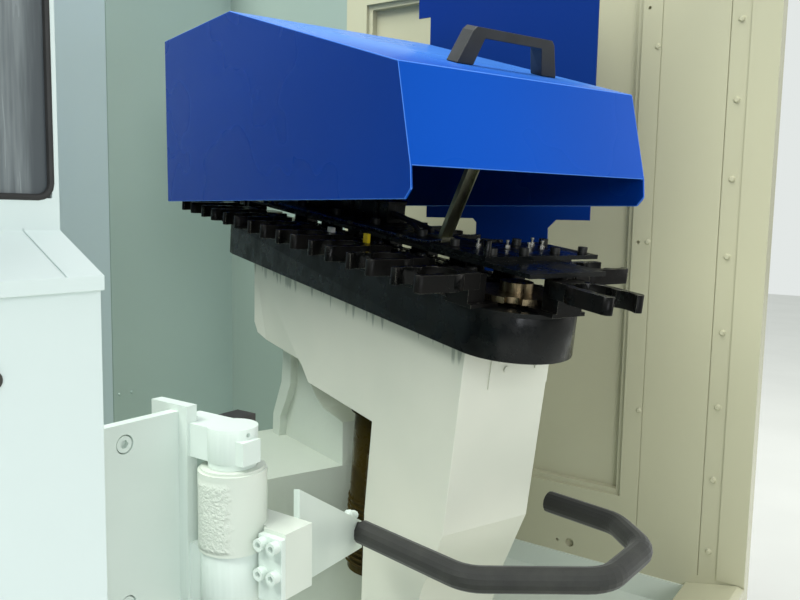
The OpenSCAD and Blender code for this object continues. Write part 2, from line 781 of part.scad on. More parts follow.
module magazine_top_plate() {
    color("#26282a") mag_deck() {
        block([-top_plate_w / 2, plate_front, plate_v], [top_plate_w / 2, rear_u - 34, plate_top]);
        block([upper_plate_x[0], upper_plate_u[0], plate_top - e],
            [upper_plate_x[1], upper_plate_u[1], plate_top + top_plate_t]);
        translate([upper_plate_x[0] + 8, upper_plate_u[0] + 8, plate_top + top_plate_t - e])
            cylinder(d = 10, h = 21, $fn = 24);
        for (u = post_u) translate([0, u, deck_v]) cylinder(d = 26, h = top_plate_gap);
    }
}

module top_plate_studs() {
    color("#3f4244") mag_deck() {
        for (i = [1:len(post_u) - 1]) translate([0, post_u[i], plate_top]) cap_head(18, 10);
        for (x = [-38, 20, 80, 136], u = [wheel_u + 14, wheel_u + 96])
            translate([x, u, plate_top + top_plate_t]) cap_head(14, 9);
    }
}

motor_y = 330;
under_rise = atan2(arm_under[1][1] - arm_under[0][1], arm_under[1][0] - arm_under[0][0]);

module magazine_motor() {
    z0 = arm_under[0][1] + (motor_y - arm_under[0][0]) * tan(under_rise);
    color("#3d3c2f") mag_place() translate([30, motor_y, z0]) rotate([under_rise, 0, 0]) {
        translate([0, 0, -24]) cylinder(d = 120, h = 24);
        translate([0, 0, -290]) cylinder(d = 104, h = 266 + e);
        translate([0, 0, -330]) cylinder(d = 96, h = 40 + e);
        block([-50, -82, -170], [30, -30, -90]);
    }
}

// A wheel with a round seat between its pockets, on a shaft that runs in the deck
module star_wheel(u) {
    translate([0, u, 0]) {
        translate([0, 0, fork_v + base_t + 0.3]) difference() {
            cylinder(r = wheel_r, h = 8);
            for (k = [0:wheel_pockets - 1]) rotate([0, 0, (k + 0.5) * 360 / wheel_pockets])
                translate([wheel_r + 4, 0, -1]) cylinder(d = 26, h = 10, $fn = 32);
        }
        translate([0, 0, fork_v + base_t + 8]) cylinder(d = 46, h = 14);
        translate([0, 0, 8]) cylinder(d = shaft_d, h = fork_v + base_t - 7);
    }
}

module front_wheel() {
    color("#8b7d63") mag_deck() star_wheel(wheel_u);
}

module rear_wheel() {
    color("#8b7d63") mag_deck() star_wheel(rear_u);
}

// One pocket: a slide block on the deck and a fork with two curved fingers, pointing to +x
grip_r = 24;
grip_at = 56;
base_in = 24;
base_out = 22;

module pocket() {
    translate([-base_in, -29, fork_v]) cube([base_in + base_out, 58, base_t]);
    block([-6, -22, fork_v + base_t - e], [22, 22, fork_top - 2]);
    translate([0, 0, fork_low]) linear_extrude(fork_t) difference() {
        union() {
            translate([8, -fork_w / 2 + 8]) square([40, fork_w - 16]);
            translate([grip_at, 0]) circle(d = fork_w, $fn = 64);
            translate([grip_at, -fork_w / 2]) square([fork_reach - grip_at - 8, fork_w]);
            for (s = [-1, 1]) translate([fork_reach - 8, s * (fork_w / 2 - 8)])
                circle(r = 8, $fn = 24);
        }
        translate([grip_at, 0]) circle(r = grip_r, $fn = 48);
        translate([grip_at, -grip_r + 4]) square([fork_reach, 2 * grip_r - 8]);
        translate([grip_at + 34, 0]) circle(r = grip_r + 1, $fn = 48);
    }
    translate([2, 0, fork_top - 2 - e]) cylinder(d = 14, h = 4.5, $fn = 24);
}

module near_forks() {
    color("#1b1d1e") mag_deck() for (k = [0:runs])
        translate([-chain_r, wheel_u + k * pitch, 0]) rotate([0, 0, 180]) pocket();
}

module far_forks() {
    color("#1b1d1e") mag_deck() for (k = [0:runs])
        translate([chain_r, wheel_u + k * pitch, 0]) pocket();
}

module front_forks() {
    color("#1b1d1e") mag_deck() translate([0, wheel_u, 0]) rotate([0, 0, -90])
        translate([chain_r, 0, 0]) pocket();
}

module rear_forks() {
    color("#1b1d1e") mag_deck() translate([0, rear_u, 0]) rotate([0, 0, 90])
        translate([chain_r, 0, 0]) pocket();
}

tag_v = fork_top;

module pocket_tags() {
    mag_deck() {
        color("#c9c7b8") translate([-chain_r - 28, wheel_u + 3 * pitch - 6, tag_v])
            cube([8, 12, 8]);
        color("#c9a800") translate([-chain_r - 28, wheel_u + 2 * pitch - 6, tag_v])
            cube([5, 12, 14]);
    }
}

// Cover: a folded sheet hood that is open below and hinged at its back
cover_half = cover_w / 2;
cover_back = 807;
roof_break = [467, cover_h - 7];
roof_front = [-48, cover_h - 163];
roof_slope = atan2(roof_break[1] - roof_front[1], roof_break[0] - roof_front[0]);
front_fold = 39;
back_rise = 30;
cover_profile = [[cover_back, 0], [cover_back + 8, cover_h], roof_break, roof_front,
    [-78, front_fold], [-80, 12], [-68, 0]];
cover_inner = [[cover_back - cover_t, -1], [cover_back + 8 - cover_t, cover_h - cover_t],
    roof_break + [1, -cover_t], roof_front + [2, -cover_t * 1.4], [-75, front_fold], [-77, -1]];

// Height of the roof's inner face over the cover's lower edge
function roof_inside(y) = let (a = cover_inner[3], b = cover_inner[2])
    a[1] + (y - a[0]) * (b[1] - a[1]) / (b[0] - a[0]);

module magazine_cover() {
    color("#1450b4") mag_place() translate([0, 0, cover_z]) difference() {
        profile_x(-cover_half, cover_half) polygon(cover_profile);
        profile_x(-cover_half + cover_t, cover_half - cover_t) polygon(cover_inner);
        block([-cover_half + cover_t, -90, -1], [cover_half - cover_t, -60, front_fold]);
        block([-cover_half + cover_t, cover_back - cover_t - 1, -1],
            [cover_half - cover_t, cover_back + 9, back_rise]);
    }
}

handle_x = -50;
handle_y = 60;
handle_w = 26;

module cover_handle() {
    z0 = cover_z + roof_front[1] + (handle_y - roof_front[0]) * tan(roof_slope);
    color("#1e2022") mag_place() translate([handle_x, handle_y, z0]) rotate([roof_slope, 0, 0])
        translate([0, handle_w / 2, 0.1]) rotate([90, 0, 0]) linear_extrude(handle_w) difference() {
            polygon([[4, 0], [22, handle_h - 6], [28, handle_h], [handle_l - 28, handle_h],
                [handle_l - 22, handle_h - 6], [handle_l - 4, 0], [handle_l - 34, 0],
                [handle_l - 46, handle_h - 14], [46, handle_h - 14], [34, 0]]);
        }
}

leaf_x = [-46, 46];
leaf_w = 30;
cheek_t = 8;
knuckle_r = 9;
cover_axis = [cover_back - 17, 40];
axis_h = cover_z + cover_axis[1] - mag_z;
axis_u = cover_axis[0] * cos(mag_rise) + axis_h * sin(mag_rise);
axis_v = axis_h * cos(mag_rise) - cover_axis[0] * sin(mag_rise);

module cover_hinge_leaves() {
    color("#9aa0a3") mag_place() translate([0, 0, cover_z]) for (x = leaf_x) difference() {
        union() {
            bar_x(x - leaf_w / 2, x + leaf_w / 2, cover_axis[0], cover_axis[1], 2 * knuckle_r);
            block([x - leaf_w / 2, cover_axis[0], cover_axis[1] - 4],
                [x + leaf_w / 2, cover_back + 5, cover_axis[1] + 4]);
            block([x - leaf_w / 2, cover_back - 7, cover_axis[1] - 4],
                [x + leaf_w / 2, cover_back + 5, cover_axis[1] + 46]);
        }
        bar_x(x - leaf_w, x + leaf_w, cover_axis[0], cover_axis[1], cover_pin + 2 * pin_gap);
        profile_x(x - leaf_w, x + leaf_w) polygon([[cover_back - cover_t - 0.1, 0],
            [cover_back + 8 - cover_t - 0.1, cover_h], [cover_back + 40, cover_h],
            [cover_back + 40, 0]]);
    }
}

module cover_hinge_brackets() {
    color("#8b9092") mag_deck() for (x = leaf_x) {
        bar_x(x - leaf_w / 2 - cheek_t, x + leaf_w / 2 + cheek_t, axis_u, axis_v, cover_pin);
        for (s = [-1, 1]) {
            c = x + s * (leaf_w / 2 + run_gap + cheek_t / 2);
            bar_x(c - cheek_t / 2, c + cheek_t / 2, axis_u, axis_v, 2 * knuckle_r);
            profile_x(c - cheek_t / 2, c + cheek_t / 2) polygon([[rear_u - 110, plate_top],
                [axis_u, plate_top], [axis_u, axis_v + knuckle_r],
                [rear_u - 60, axis_v + knuckle_r]]);
        }
    }
}

stay_foot = 150;
stay_head = 12;
stay_x = 20;
stay_w = 22;
stay_d = 8;

// A folded strip that stands on the top plate and reaches up to the cover's roof
module cover_stay() {
    foot_z = mag_z + plate_top / cos(mag_rise) + stay_foot * tan(mag_rise);
    start_z = foot_z + 4;
    top_z = cover_z + roof_inside(stay_head - stay_d / 2) - 2.8;
    lean = atan2(stay_foot - stay_head, top_z - start_z);
    long = norm([stay_foot - stay_head, top_z - start_z]);
    color("#8f9385") mag_place() {
        translate([stay_x, stay_foot, foot_z]) rotate([mag_rise, 0, 0])
            block([-10, -6, 0], [14, 34, 3]);
        translate([stay_x, stay_foot, start_z]) rotate([lean, 0, 0]) difference() {
            block([-stay_w / 2, -stay_d / 2, -2], [stay_w / 2, stay_d / 2, long]);
            block([-stay_w / 2 + 2, -stay_d / 2 - 1, -3], [stay_w / 2 - 2, stay_d / 2 - 2, long + 1]);
        }
    }
}

// Travelling column, head and spindle
carriage_z = shoulder_z + rail_h + run_gap;
carriage_t = 50;
column_y = [rail_y[0] - 30, rail_y[1] + 30];
column_z = [carriage_z + carriage_t + run_gap, machine_h - 200];
head_y = [rail_y[0] - 650, column_y[0] - run_gap];
head_z = [1400, 1760];
spindle_y = -pedestal_y;
nose_z = 1300;

module x_carriage() {
    x0 = -column_x - column_w / 2 - 10;
    x1 = -column_x + column_w / 2 + 10;
    color("#8f958e") {
        block([x0, rail_y[0] - 60, carriage_z], [x1, rail_y[1] + 60, carriage_z + carriage_t]);
        for (y = rail_y, s = [-1, 1])
            block([x0, y + s * (rail_w / 2 + run_gap + 9) - 9, shoulder_z + run_gap],
                [x1, y + s * (rail_w / 2 + run_gap + 9) + 9, carriage_z + e]);
    }
}

module column() {
    color("#8f958e") translate([-column_x, 0, 0]) difference() {
        block([-column_w / 2, column_y[0], column_z[0]], [column_w / 2, column_y[1], column_z[1]]);
        block([-column_w / 2 + 40, column_y[0] + 60, column_z[0] - 1],
            [column_w / 2 - 40, column_y[1] - 40, column_z[1] - 40]);
        block([-20, column_y[0] - 1, column_z[0] + 100],
            [20, column_y[0] + 20, column_z[1] - 100]);
    }
}

module spindle_head() {
    color("#d5dcd2") translate([-column_x, 0, 0]) difference() {
        union() {
            block([-head_w / 2, head_y[0], head_z[0]], [head_w / 2, head_y[1], head_z[1]]);
            translate([0, spindle_y, nose_z + 40]) cylinder(d1 = 150, d2 = 200, h = 61);
            translate([0, spindle_y, head_z[1] - e]) cylinder(d = 180, h = 120);
        }
        translate([0, spindle_y, nose_z]) cylinder(d = 90 + 2 * pin_gap, h = 220);
    }
}

module spindle() {
    color("#a9aeb1") translate([-column_x, spindle_y, nose_z]) difference() {
        union() {
            cylinder(d = spindle_d, h = 38);
            translate([0, 0, 38 - e]) cylinder(d = 90, h = 180);
        }
        translate([0, 0, -1]) cylinder(d1 = 45, d2 = 30, h = 66);
        for (s = [-1, 1]) translate([s * spindle_d / 2 - 10, -8, -1]) cube([20, 16, 12]);
    }
}

// Operator console on the lower front panel
con_x = [left + 120, left + 540];
con_z = [960, 1240];
con_d = 84;

module operator_console() {
    color("#c9cfc9") difference() {
        profile_x(con_x[0], con_x[1]) polygon([
            [panel_y + 2, con_z[0]], [panel_y - con_d, con_z[0] + 40],
            [panel_y - con_d, con_z[0] + 90], [panel_y - 30, con_z[1]],
            [panel_y - 2.1, con_z[1]], [panel_y + 2, con_z[1]]]);
        console_face() translate([100, 150, -16]) cylinder(d = 24 + 2 * pin_gap, h = 30);
        console_face() translate([190, 150, -9]) cylinder(d = 10 + 2 * pin_gap, h = 30);
    }
}

// Places things on the sloped face: x across, y up the slope, z out of it
module console_face() {
    slope = atan2(con_z[1] - con_z[0] - 90, con_d - 30);
    translate([con_x[0], panel_y - con_d, con_z[0] + 90]) rotate([slope, 0, 0])
        children();
}

module console_screen() {
    color("#22272b") console_face() translate([230, 30, 0.1]) cube([170, 110, 3]);
}

module console_keys() {
    color("#55595b") console_face() for (i = [0:5], j = [0:2])
        translate([26 + i * 30, 28 + j * 30, 0.1]) cube([22, 20, 3]);
}

module stop_button() {
    color("#b3261e") console_face() translate([100, 150, 0]) {
        translate([0, 0, 8]) cylinder(d = 38, h = 12);
        translate([0, 0, -8]) cylinder(d = 24, h = 17);
    }
}

module override_knob() {
    color("#2a2c2e") console_face() translate([190, 150, 0]) {
        translate([0, 0, 0.4]) cylinder(d = 30, h = 16);
        translate([0, 0, -8]) cylinder(d = 10, h = 9);
        translate([-2, 4, 16]) cube([4, 10, 1]);
    }
}

base_bed();
levelling_feet();
x_rails();
work_table();
bay_floor();
bay_sill();
right_wall();
back_wall();
left_wall();
partition();
front_panel();
front_window();
top_frame();
door_rails();
electrical_cabinet();
cabinet_door();
guard_plate();
hinge_bracket();
bracket_screws();
hinge_pin();
limit_switch();
stand();
stand_cover_plate();
pillar();
magazine_housing();
magazine_deck();
magazine_top_plate();
top_plate_studs();
magazine_motor();
front_wheel();
front_forks();
rear_wheel();
rear_forks();
near_forks();
far_forks();
pocket_tags();
cover_stay();
cover_hinge_brackets();
magazine_cover();
cover_handle();
cover_hinge_leaves();
hinge_barrel();
clamp_plate();
clamp_screws();
arm_plate();
handle_tube();
foam_sleeve();
x_carriage();
column();
spindle_head();
spindle();
left_door();
left_door_window();
right_door();
right_door_window();
operator_console();
console_screen();
console_keys();
stop_button();
override_knob();
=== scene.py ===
"""Looks of a machining centre with an open magazine bay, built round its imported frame."""
import math
import random

import bpy
from mathutils import Matrix, Vector


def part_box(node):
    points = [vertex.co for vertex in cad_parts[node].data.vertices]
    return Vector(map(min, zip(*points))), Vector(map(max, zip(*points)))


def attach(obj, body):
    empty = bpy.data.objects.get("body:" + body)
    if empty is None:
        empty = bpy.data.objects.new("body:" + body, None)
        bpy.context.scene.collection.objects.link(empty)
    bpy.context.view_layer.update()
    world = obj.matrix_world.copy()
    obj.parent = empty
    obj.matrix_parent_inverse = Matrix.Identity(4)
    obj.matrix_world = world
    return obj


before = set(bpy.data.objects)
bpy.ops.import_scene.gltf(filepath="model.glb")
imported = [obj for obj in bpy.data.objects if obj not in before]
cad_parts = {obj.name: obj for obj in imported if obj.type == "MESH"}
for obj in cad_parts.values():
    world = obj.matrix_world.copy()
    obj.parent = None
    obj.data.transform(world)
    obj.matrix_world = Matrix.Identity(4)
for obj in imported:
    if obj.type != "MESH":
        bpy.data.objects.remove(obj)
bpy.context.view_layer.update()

MM = 0.001
# The magazine's deck, as in the source: its turn to the right, its rise to the back, its origin
# in metres, and the heights over it of its top plate and of the plate on that one
MAG_TURN = math.radians(21)
MAG_RISE = math.radians(6.5)
MAG_ORIGIN = Vector((0.588, -0.720, 1.123))
TOP_PLATE = 122
UPPER_PLATE = 128
# More places of the source in millimetres: the column's and the spindle's middle, the bay's floor
COLUMN_X = -700
BAY_FLOOR = 480
# Where the shaders change, in metres: between the two tags along Y, and round the sand's skin on
# the hinge barrel, as X - Y of its slanted edge and the heights of its lower and its upper end
TAGS_PART_AT = -0.432
SKIN_EDGE = (0.797, 0.812)
SKIN_FOOT = (0.931, 0.936)
SKIN_TOP = (1.003, 1.012)


# Material tools
def colour(code):
    """An sRGB hex value as linear numbers, opaque."""
    parts = [int(code[i:i + 2], 16) / 255 for i in (1, 3, 5)]
    linear = [c / 12.92 if c <= 0.04045 else ((c + 0.055) / 1.055) ** 2.4 for c in parts]
    return (*linear, 1.0)


def put(mat, kind, inputs=None, **settings):
    """Adds one node. Inputs hold values or other nodes' sockets, settings its own options."""
    node = mat.node_tree.nodes.new("ShaderNode" + kind)
    for name, value in settings.items():
        setattr(node, name, value)
    for key, value in (inputs or {}).items():
        if isinstance(value, bpy.types.NodeSocket):
            mat.node_tree.links.new(value, node.inputs[key])
        else:
            node.inputs[key].default_value = value
    return node


def start(name):
    """A new material without nodes."""
    mat = bpy.data.materials.new(name)
    mat.use_nodes = True
    mat.node_tree.nodes.clear()
    return mat


def finish_off(mat, shader):
    """Joins the shader to the material's output."""
    put(mat, "OutputMaterial", {"Surface": shader.outputs["BSDF"]})
    return mat


def noise(mat, size_mm, where, detail=3.0, rough=0.5, stretch=(1, 1, 1)):
    """Noise whose largest lumps are size_mm across, at a place in metres. A stretch below 1
    draws the lumps out along that axis."""
    scaled = put(mat, "VectorMath", {0: where, 1: Vector(stretch)}, operation="MULTIPLY")
    return put(mat, "TexNoise", {"Vector": scaled.outputs[0], "Scale": 1 / (size_mm * MM),
                                 "Detail": detail, "Roughness": rough}).outputs["Fac"]


def ramp(mat, value, low, high, to_low=0.0, to_high=1.0):
    """A soft step from to_low, where value is low, up or down to to_high, where it is high."""
    return put(mat, "MapRange", {"Value": value, "From Min": low, "From Max": high,
                                 "To Min": to_low, "To Max": to_high},
               interpolation_type="SMOOTHSTEP").outputs["Result"]


def mix(mat, factor, a, b):
    """Colour a where factor is 0, b where it is 1."""
    return put(mat, "Mix", {0: factor, 6: a, 7: b}, data_type="RGBA").outputs[2]


def math_node(mat, operation, a, b=0.0):
    return put(mat, "Math", {0: a, 1: b}, operation=operation).outputs[0]


def enamel(name, face, shade, rough=0.36, peel=0.1, lump_mm=0, seam=None, inside="",
           joints=()):
    """Sprayed machine enamel: even colour, a slow change from dust, orange peel in the gloss.
    A seam is an axis, a place and the shade of the sheet before it. Inside names the axis that
    the outer face looks along, and that face keeps this one shade. Joints are dark gaps between
    outer sheets: an axis, a place and the side of X that they show on."""
    mat = start(name)
    at = put(mat, "TexCoord").outputs["Object"]
    clouds = ramp(mat, noise(mat, 700, at, 1.0), 0.2, 0.8)
    base = mix(mat, clouds, colour(face), colour(shade))
    parts = put(mat, "SeparateXYZ", {0: at})
    facing = put(mat, "SeparateXYZ", {0: put(mat, "NewGeometry").outputs["Normal"]}).outputs
    if seam:
        axis, place, other = seam
        past = ramp(mat, parts.outputs[axis], place - 0.5 * MM, place + 0.5 * MM)
        if inside:
            inner = ramp(mat, facing[inside], 0.3, 0.6, 1.0, 0.0)
            past = math_node(mat, "MULTIPLY", past, inner)
        base = mix(mat, past, colour(other), base)
    for axis, place, side in joints:
        shown = ramp(mat, math_node(mat, "MULTIPLY", facing["X"], side), 0.5, 0.9)
        off = math_node(mat, "ABSOLUTE", math_node(mat, "SUBTRACT", parts.outputs[axis], place))
        gap = ramp(mat, off, 1.2 * MM, 2.4 * MM, 1.0, 0.0)
        base = mix(mat, math_node(mat, "MULTIPLY", gap, shown), base, colour("#59605b"))
    height = noise(mat, 3.5, at, 2.0)
    normal = put(mat, "Bump", {"Strength": peel, "Distance": 0.3 * MM, "Height": height})
    if lump_mm:
        lumps = noise(mat, lump_mm, at, 4.0, 0.65)
        normal = put(mat, "Bump", {"Strength": 0.6, "Distance": 1.2 * MM, "Height": lumps,
                                   "Normal": normal.outputs[0]})
    gloss = ramp(mat, noise(mat, 260, at, 2.0), 0.2, 0.8, rough - 0.01, rough + 0.02)
    shader = put(mat, "BsdfPrincipled", {
        "Base Color": base, "Roughness": gloss, "IOR": 1.5, "Normal": normal.outputs[0]})
    return finish_off(mat, shader)


def cast_paint(name, face="#d8e3dc", shade="#d0dcd4", rough_skin=False):
    """Thick brushed enamel on a casting. With rough_skin, which is for the hinge barrel, its
    left side shows the sand's skin through the paint."""
    mat = start(name)
    at = put(mat, "TexCoord").outputs["Object"]
    clouds = ramp(mat, noise(mat, 160, at, 2.0), 0.35, 0.7)
    base = mix(mat, clouds, colour(face), colour(shade))
    normal = put(mat, "Bump", {"Strength": 0.2, "Distance": 0.5 * MM,
                               "Height": noise(mat, 10, at, 2.0)}).outputs[0]
    if rough_skin:
        parts = put(mat, "SeparateXYZ", {0: at})
        across = math_node(mat, "SUBTRACT", parts.outputs["X"], parts.outputs["Y"])
        edge = math_node(mat, "ADD", across, math_node(mat, "MULTIPLY", noise(mat, 14, at), 0.02))
        side = ramp(mat, edge, *SKIN_EDGE, 1.0, 0.0)
        tall = ramp(mat, parts.outputs["Z"], *SKIN_FOOT)
        under = ramp(mat, parts.outputs["Z"], *SKIN_TOP, 1.0, 0.0)
        mask = math_node(mat, "MULTIPLY", math_node(mat, "MULTIPLY", side, tall), under)
        lumps = math_node(mat, "MULTIPLY", noise(mat, 4.2, at, 3.0, 0.6), mask)
        normal = put(mat, "Bump", {"Strength": 1.0, "Distance": 3.2 * MM, "Height": lumps,
                                   "Normal": normal}).outputs[0]
    shader = put(mat, "BsdfPrincipled", {
        "Base Color": base, "Roughness": 0.36, "IOR": 1.5, "Normal": normal})
    return finish_off(mat, shader)


def stand_enamel(name):
    """Beige-grey enamel on folded sheet, with oil runs under the magazine's lower edge."""
    mat = start(name)
    at = put(mat, "TexCoord").outputs["Object"]
    turned = Matrix.Rotation(MAG_TURN, 3, "Z")
    local = put(mat, "Mapping", {"Vector": at, "Location": -(turned @ MAG_ORIGIN),
                                 "Rotation": (0, 0, MAG_TURN)}, vector_type="POINT")
    parts = put(mat, "SeparateXYZ", {0: local.outputs[0]})
    rise = math_node(mat, "MULTIPLY", parts.outputs["Y"], math.tan(MAG_RISE))
    below = math_node(mat, "SUBTRACT", rise, parts.outputs["Z"])
    runs = noise(mat, 13, local.outputs[0], 1.0, 0.5, (1, 1, 0.08))
    reach = ramp(mat, runs, 0.54, 0.68, 12 * MM, 34 * MM)
    stain = put(mat, "MapRange", {"Value": math_node(mat, "SUBTRACT", reach, below),
                                  "From Min": 0.0, "From Max": 9 * MM,
                                  "To Min": 0.0, "To Max": 0.6}).outputs["Result"]
    clouds = ramp(mat, noise(mat, 300, at), 0.35, 0.7)
    base = mix(mat, clouds, colour("#d9dacd"), colour("#cfd2c5"))
    base = mix(mat, stain, base, colour("#7a8579"))
    normal = put(mat, "Bump", {"Strength": 0.1, "Distance": 0.3 * MM,
                               "Height": noise(mat, 3.5, at, 2.0)})
    shader = put(mat, "BsdfPrincipled", {
        "Base Color": base, "Roughness": 0.42, "IOR": 1.5, "Normal": normal.outputs[0]})
    return finish_off(mat, shader)


def powder_coat(name, face="#004cb6", shade="#0045a6", side="#003084", roof="#4f87d4",
                rough=0.27):
    """Blue powder coat on sheet steel: deep even blue, fine orange peel in a soft gloss.
    The sides that hang upright along the magazine get a deeper blue as painted shade, and the
    roof a paler blue as a painted sheen."""
    mat = start(name)
    at = put(mat, "TexCoord").outputs["Object"]
    clouds = ramp(mat, noise(mat, 500, at, 1.0), 0.35, 0.7)
    base = mix(mat, clouds, colour(face), colour(shade))
    facing = put(mat, "NewGeometry").outputs["Normal"]
    # painted shade: faces that look across the magazine, its upright sides, take the deeper side
    # blue
    outward = put(mat, "VectorMath", {
        0: facing, 1: (math.cos(MAG_TURN), -math.sin(MAG_TURN), 0)}, operation="DOT_PRODUCT")
    upright = ramp(mat, math_node(mat, "ABSOLUTE", outward.outputs["Value"]), 0.6, 0.95)
    base = mix(mat, upright, base, colour(side))
    # painted sheen: level faces, the roof, take the paler roof blue
    level = ramp(mat, put(mat, "SeparateXYZ", {0: facing}).outputs["Z"], 0.9, 0.99)
    base = mix(mat, level, base, colour(roof))
    normal = put(mat, "Bump", {"Strength": 0.06, "Distance": 0.2 * MM,
                               "Height": noise(mat, 2.6, at, 2.0)})
    gloss = ramp(mat, noise(mat, 220, at, 2.0), 0.3, 0.75, rough - 0.03, rough + 0.05)
    shader = put(mat, "BsdfPrincipled", {
        "Base Color": base, "Roughness": gloss, "IOR": 1.5, "Specular IOR Level": 0.1,
        "Normal": normal.outputs[0]})
    return finish_off(mat, shader)


def oily_black(name, face="#05080a", shade="#0c0d0c", shine=0.2):
    """Dark enamel, nylon or steel under a film of cutting oil, black by default: wet patches,
    dust stuck where it is dry."""
    mat = start(name)
    at = put(mat, "TexCoord").outputs["Object"]
    film = noise(mat, 45, at, 5.0, 0.6)
    base = mix(mat, ramp(mat, film, 0.35, 0.7), colour(face), colour(shade))
    specks = ramp(mat, noise(mat, 6, at, 4.0, 0.7), 0.68, 0.77, 0.0, 0.25)
    base = mix(mat, specks, base, colour("#4c473e"))
    gloss = ramp(mat, film, 0.35, 0.65, 0.16, 0.5)
    normal = put(mat, "Bump", {"Strength": 0.25, "Distance": 0.5 * MM,
                               "Height": noise(mat, 12, at, 4.0)})
    shader = put(mat, "BsdfPrincipled", {
        "Base Color": base, "Roughness": gloss, "IOR": 1.5, "Specular IOR Level": shine,
        "Normal": normal.outputs[0]})
    return finish_off(mat, shader)


def worn_edge(name):
    """Black finish rubbed through to steel along an edge."""
    mat = start(name)
    at = put(mat, "TexCoord").outputs["Object"]
    rubbed = ramp(mat, noise(mat, 14, at, 4.0, 0.6), 0.38, 0.52)
    base = mix(mat, rubbed, colour("#1c1c1c"), colour("#bab6aa"))
    shader = put(mat, "BsdfPrincipled", {
        "Base Color": base, "Metallic": ramp(mat, rubbed, 0.2, 0.8), "Roughness": 0.32})
    return finish_off(mat, shader)


def moulded_nylon(name, face="#1d1f20", shade="#26282a", rough=0.42):
    """Moulded plastic, rubber or glass, near black by default: a fine spark-eroded grain that
    dulls the gloss."""
    mat = start(name)
    at = put(mat, "TexCoord").outputs["Object"]
    base = mix(mat, ramp(mat, noise(mat, 30, at), 0.35, 0.7), colour(face), colour(shade))
    normal = put(mat, "Bump", {"Strength": 0.3, "Distance": 0.2 * MM,
                               "Height": noise(mat, 1.6, at, 2.0)})
    shader = put(mat, "BsdfPrincipled", {
        "Base Color": base, "Roughness": rough, "IOR": 1.52, "Normal": normal.outputs[0]})
    return finish_off(mat, shader)


def tag_plastic(name):
    """Matt moulded tags on the tongs: the front one is yellow, the one behind it white."""
    mat = start(name)
    at = put(mat, "TexCoord").outputs["Object"]
    back = ramp(mat, put(mat, "SeparateXYZ", {0: at}).outputs["Y"], TAGS_PART_AT - MM,
                TAGS_PART_AT + MM)
    base = mix(mat, back, colour("#e3c400"), colour("#e4e4dc"))
    normal = put(mat, "Bump", {"Strength": 0.3, "Distance": 0.2 * MM,
                               "Height": noise(mat, 1.6, at, 2.0)})
    shader = put(mat, "BsdfPrincipled", {
        "Base Color": base, "Roughness": 0.45, "IOR": 1.52, "Normal": normal.outputs[0]})
    return finish_off(mat, shader)


def cell_foam(name):
    """Closed-cell foam tube: charcoal skin with fine pores, rubbed grey where hands hold it."""
    mat = start(name)
    at = put(mat, "TexCoord").outputs["Object"]
    rubbed = ramp(mat, noise(mat, 55, at, 4.0, 0.6), 0.4, 0.75)
    base = mix(mat, rubbed, colour("#20211f"), colour("#2d2e2a"))
    # the real cells are about 0.3 mm, drawn at 1.8 mm so that they show
    pores = put(mat, "TexVoronoi", {"Vector": at, "Scale": 1 / (1.8 * MM)})
    fine = put(mat, "Bump", {"Strength": 0.35, "Distance": 0.3 * MM,
                             "Height": pores.outputs["Distance"]})
    dents = put(mat, "Bump", {"Strength": 0.4, "Distance": 1.5 * MM,
                              "Height": noise(mat, 40, at, 3.0), "Normal": fine.outputs[0]})
    shader = put(mat, "BsdfPrincipled", {
        "Base Color": base, "Roughness": 0.72, "IOR": 1.5, "Normal": dents.outputs[0],
        "Sheen Weight": 0.25, "Sheen Roughness": 0.4})
    return finish_off(mat, shader)


def steel(name, face, shade, rough, lines_mm, along=(1, 1, 1)):
    """Bare steel: machined lines stretch the gloss, with a little staining."""
    mat = start(name)
    at = put(mat, "TexCoord").outputs["Object"]
    base = mix(mat, ramp(mat, noise(mat, 50, at, 4.0), 0.35, 0.7), colour(face), colour(shade))
    lines = noise(mat, lines_mm, at, 2.0, 0.5, along)
    normal = put(mat, "Bump", {"Strength": 0.12, "Distance": 0.1 * MM, "Height": lines})
    gloss = ramp(mat, lines, 0.3, 0.7, rough - 0.05, rough + 0.12)
    shader = put(mat, "BsdfPrincipled", {
        "Base Color": base, "Metallic": 1.0, "Roughness": gloss, "Normal": normal.outputs[0]})
    return finish_off(mat, shader)


def smoked_pane(name):
    """Dark polycarbonate pane with dried coolant runs: grey streaks that fall straight down."""
    mat = start(name)
    at = put(mat, "TexCoord").outputs["Object"]
    runs = ramp(mat, noise(mat, 26, at, 5.0, 0.6, (1, 1, 0.06)), 0.45, 0.75)
    base = mix(mat, runs, colour("#4b5155"), colour("#8d9698"))
    gloss = ramp(mat, runs, 0.0, 1.0, 0.08, 0.4)
    shader = put(mat, "BsdfPrincipled", {
        "Base Color": base, "Roughness": gloss, "IOR": 1.58})
    return finish_off(mat, shader)


MINT = enamel("mint_enamel_sheet", "#d6e3e2", "#d0dddb", rough=0.34)
PALE = enamel("pale_enamel_sheet", "#d3dbd0", "#c8d1c5")
WALL = enamel("grey_green_gloss_enamel", "#aec2bb", "#a4b9b2", rough=0.24, peel=0.08,
              seam=("X", 0.841, "#c4d6da"), inside="Y")
BEIGE = enamel("beige_enamel_sheet", "#c6c4a9", "#bbb99d", rough=0.24, peel=0.08)
RIGHT_SHEETS = enamel("grey_green_sheet_behind_beige", "#9cada5", "#93a49b", rough=0.24,
                      peel=0.08, seam=("Y", 0.1, "#bbb99e"), inside="X",
                      joints=(("Y", -0.32, 1), ("Y", 0.36, 1), ("Z", 1.12, 1)))
LEFT_SHEETS = enamel("pale_enamel_outer_sheets", "#d3dbd0", "#c8d1c5",
                     joints=(("Y", -0.3, -1), ("Y", 0.32, -1), ("Z", 1.12, -1)))
FLOOR_PAINT = enamel("pale_enamel_floor", "#dde3d6", "#cdd6cc", rough=0.24)
BED_PAINT = enamel("grey_enamel_casting", "#9aa098", "#8b9189", rough=0.42, lump_mm=30)
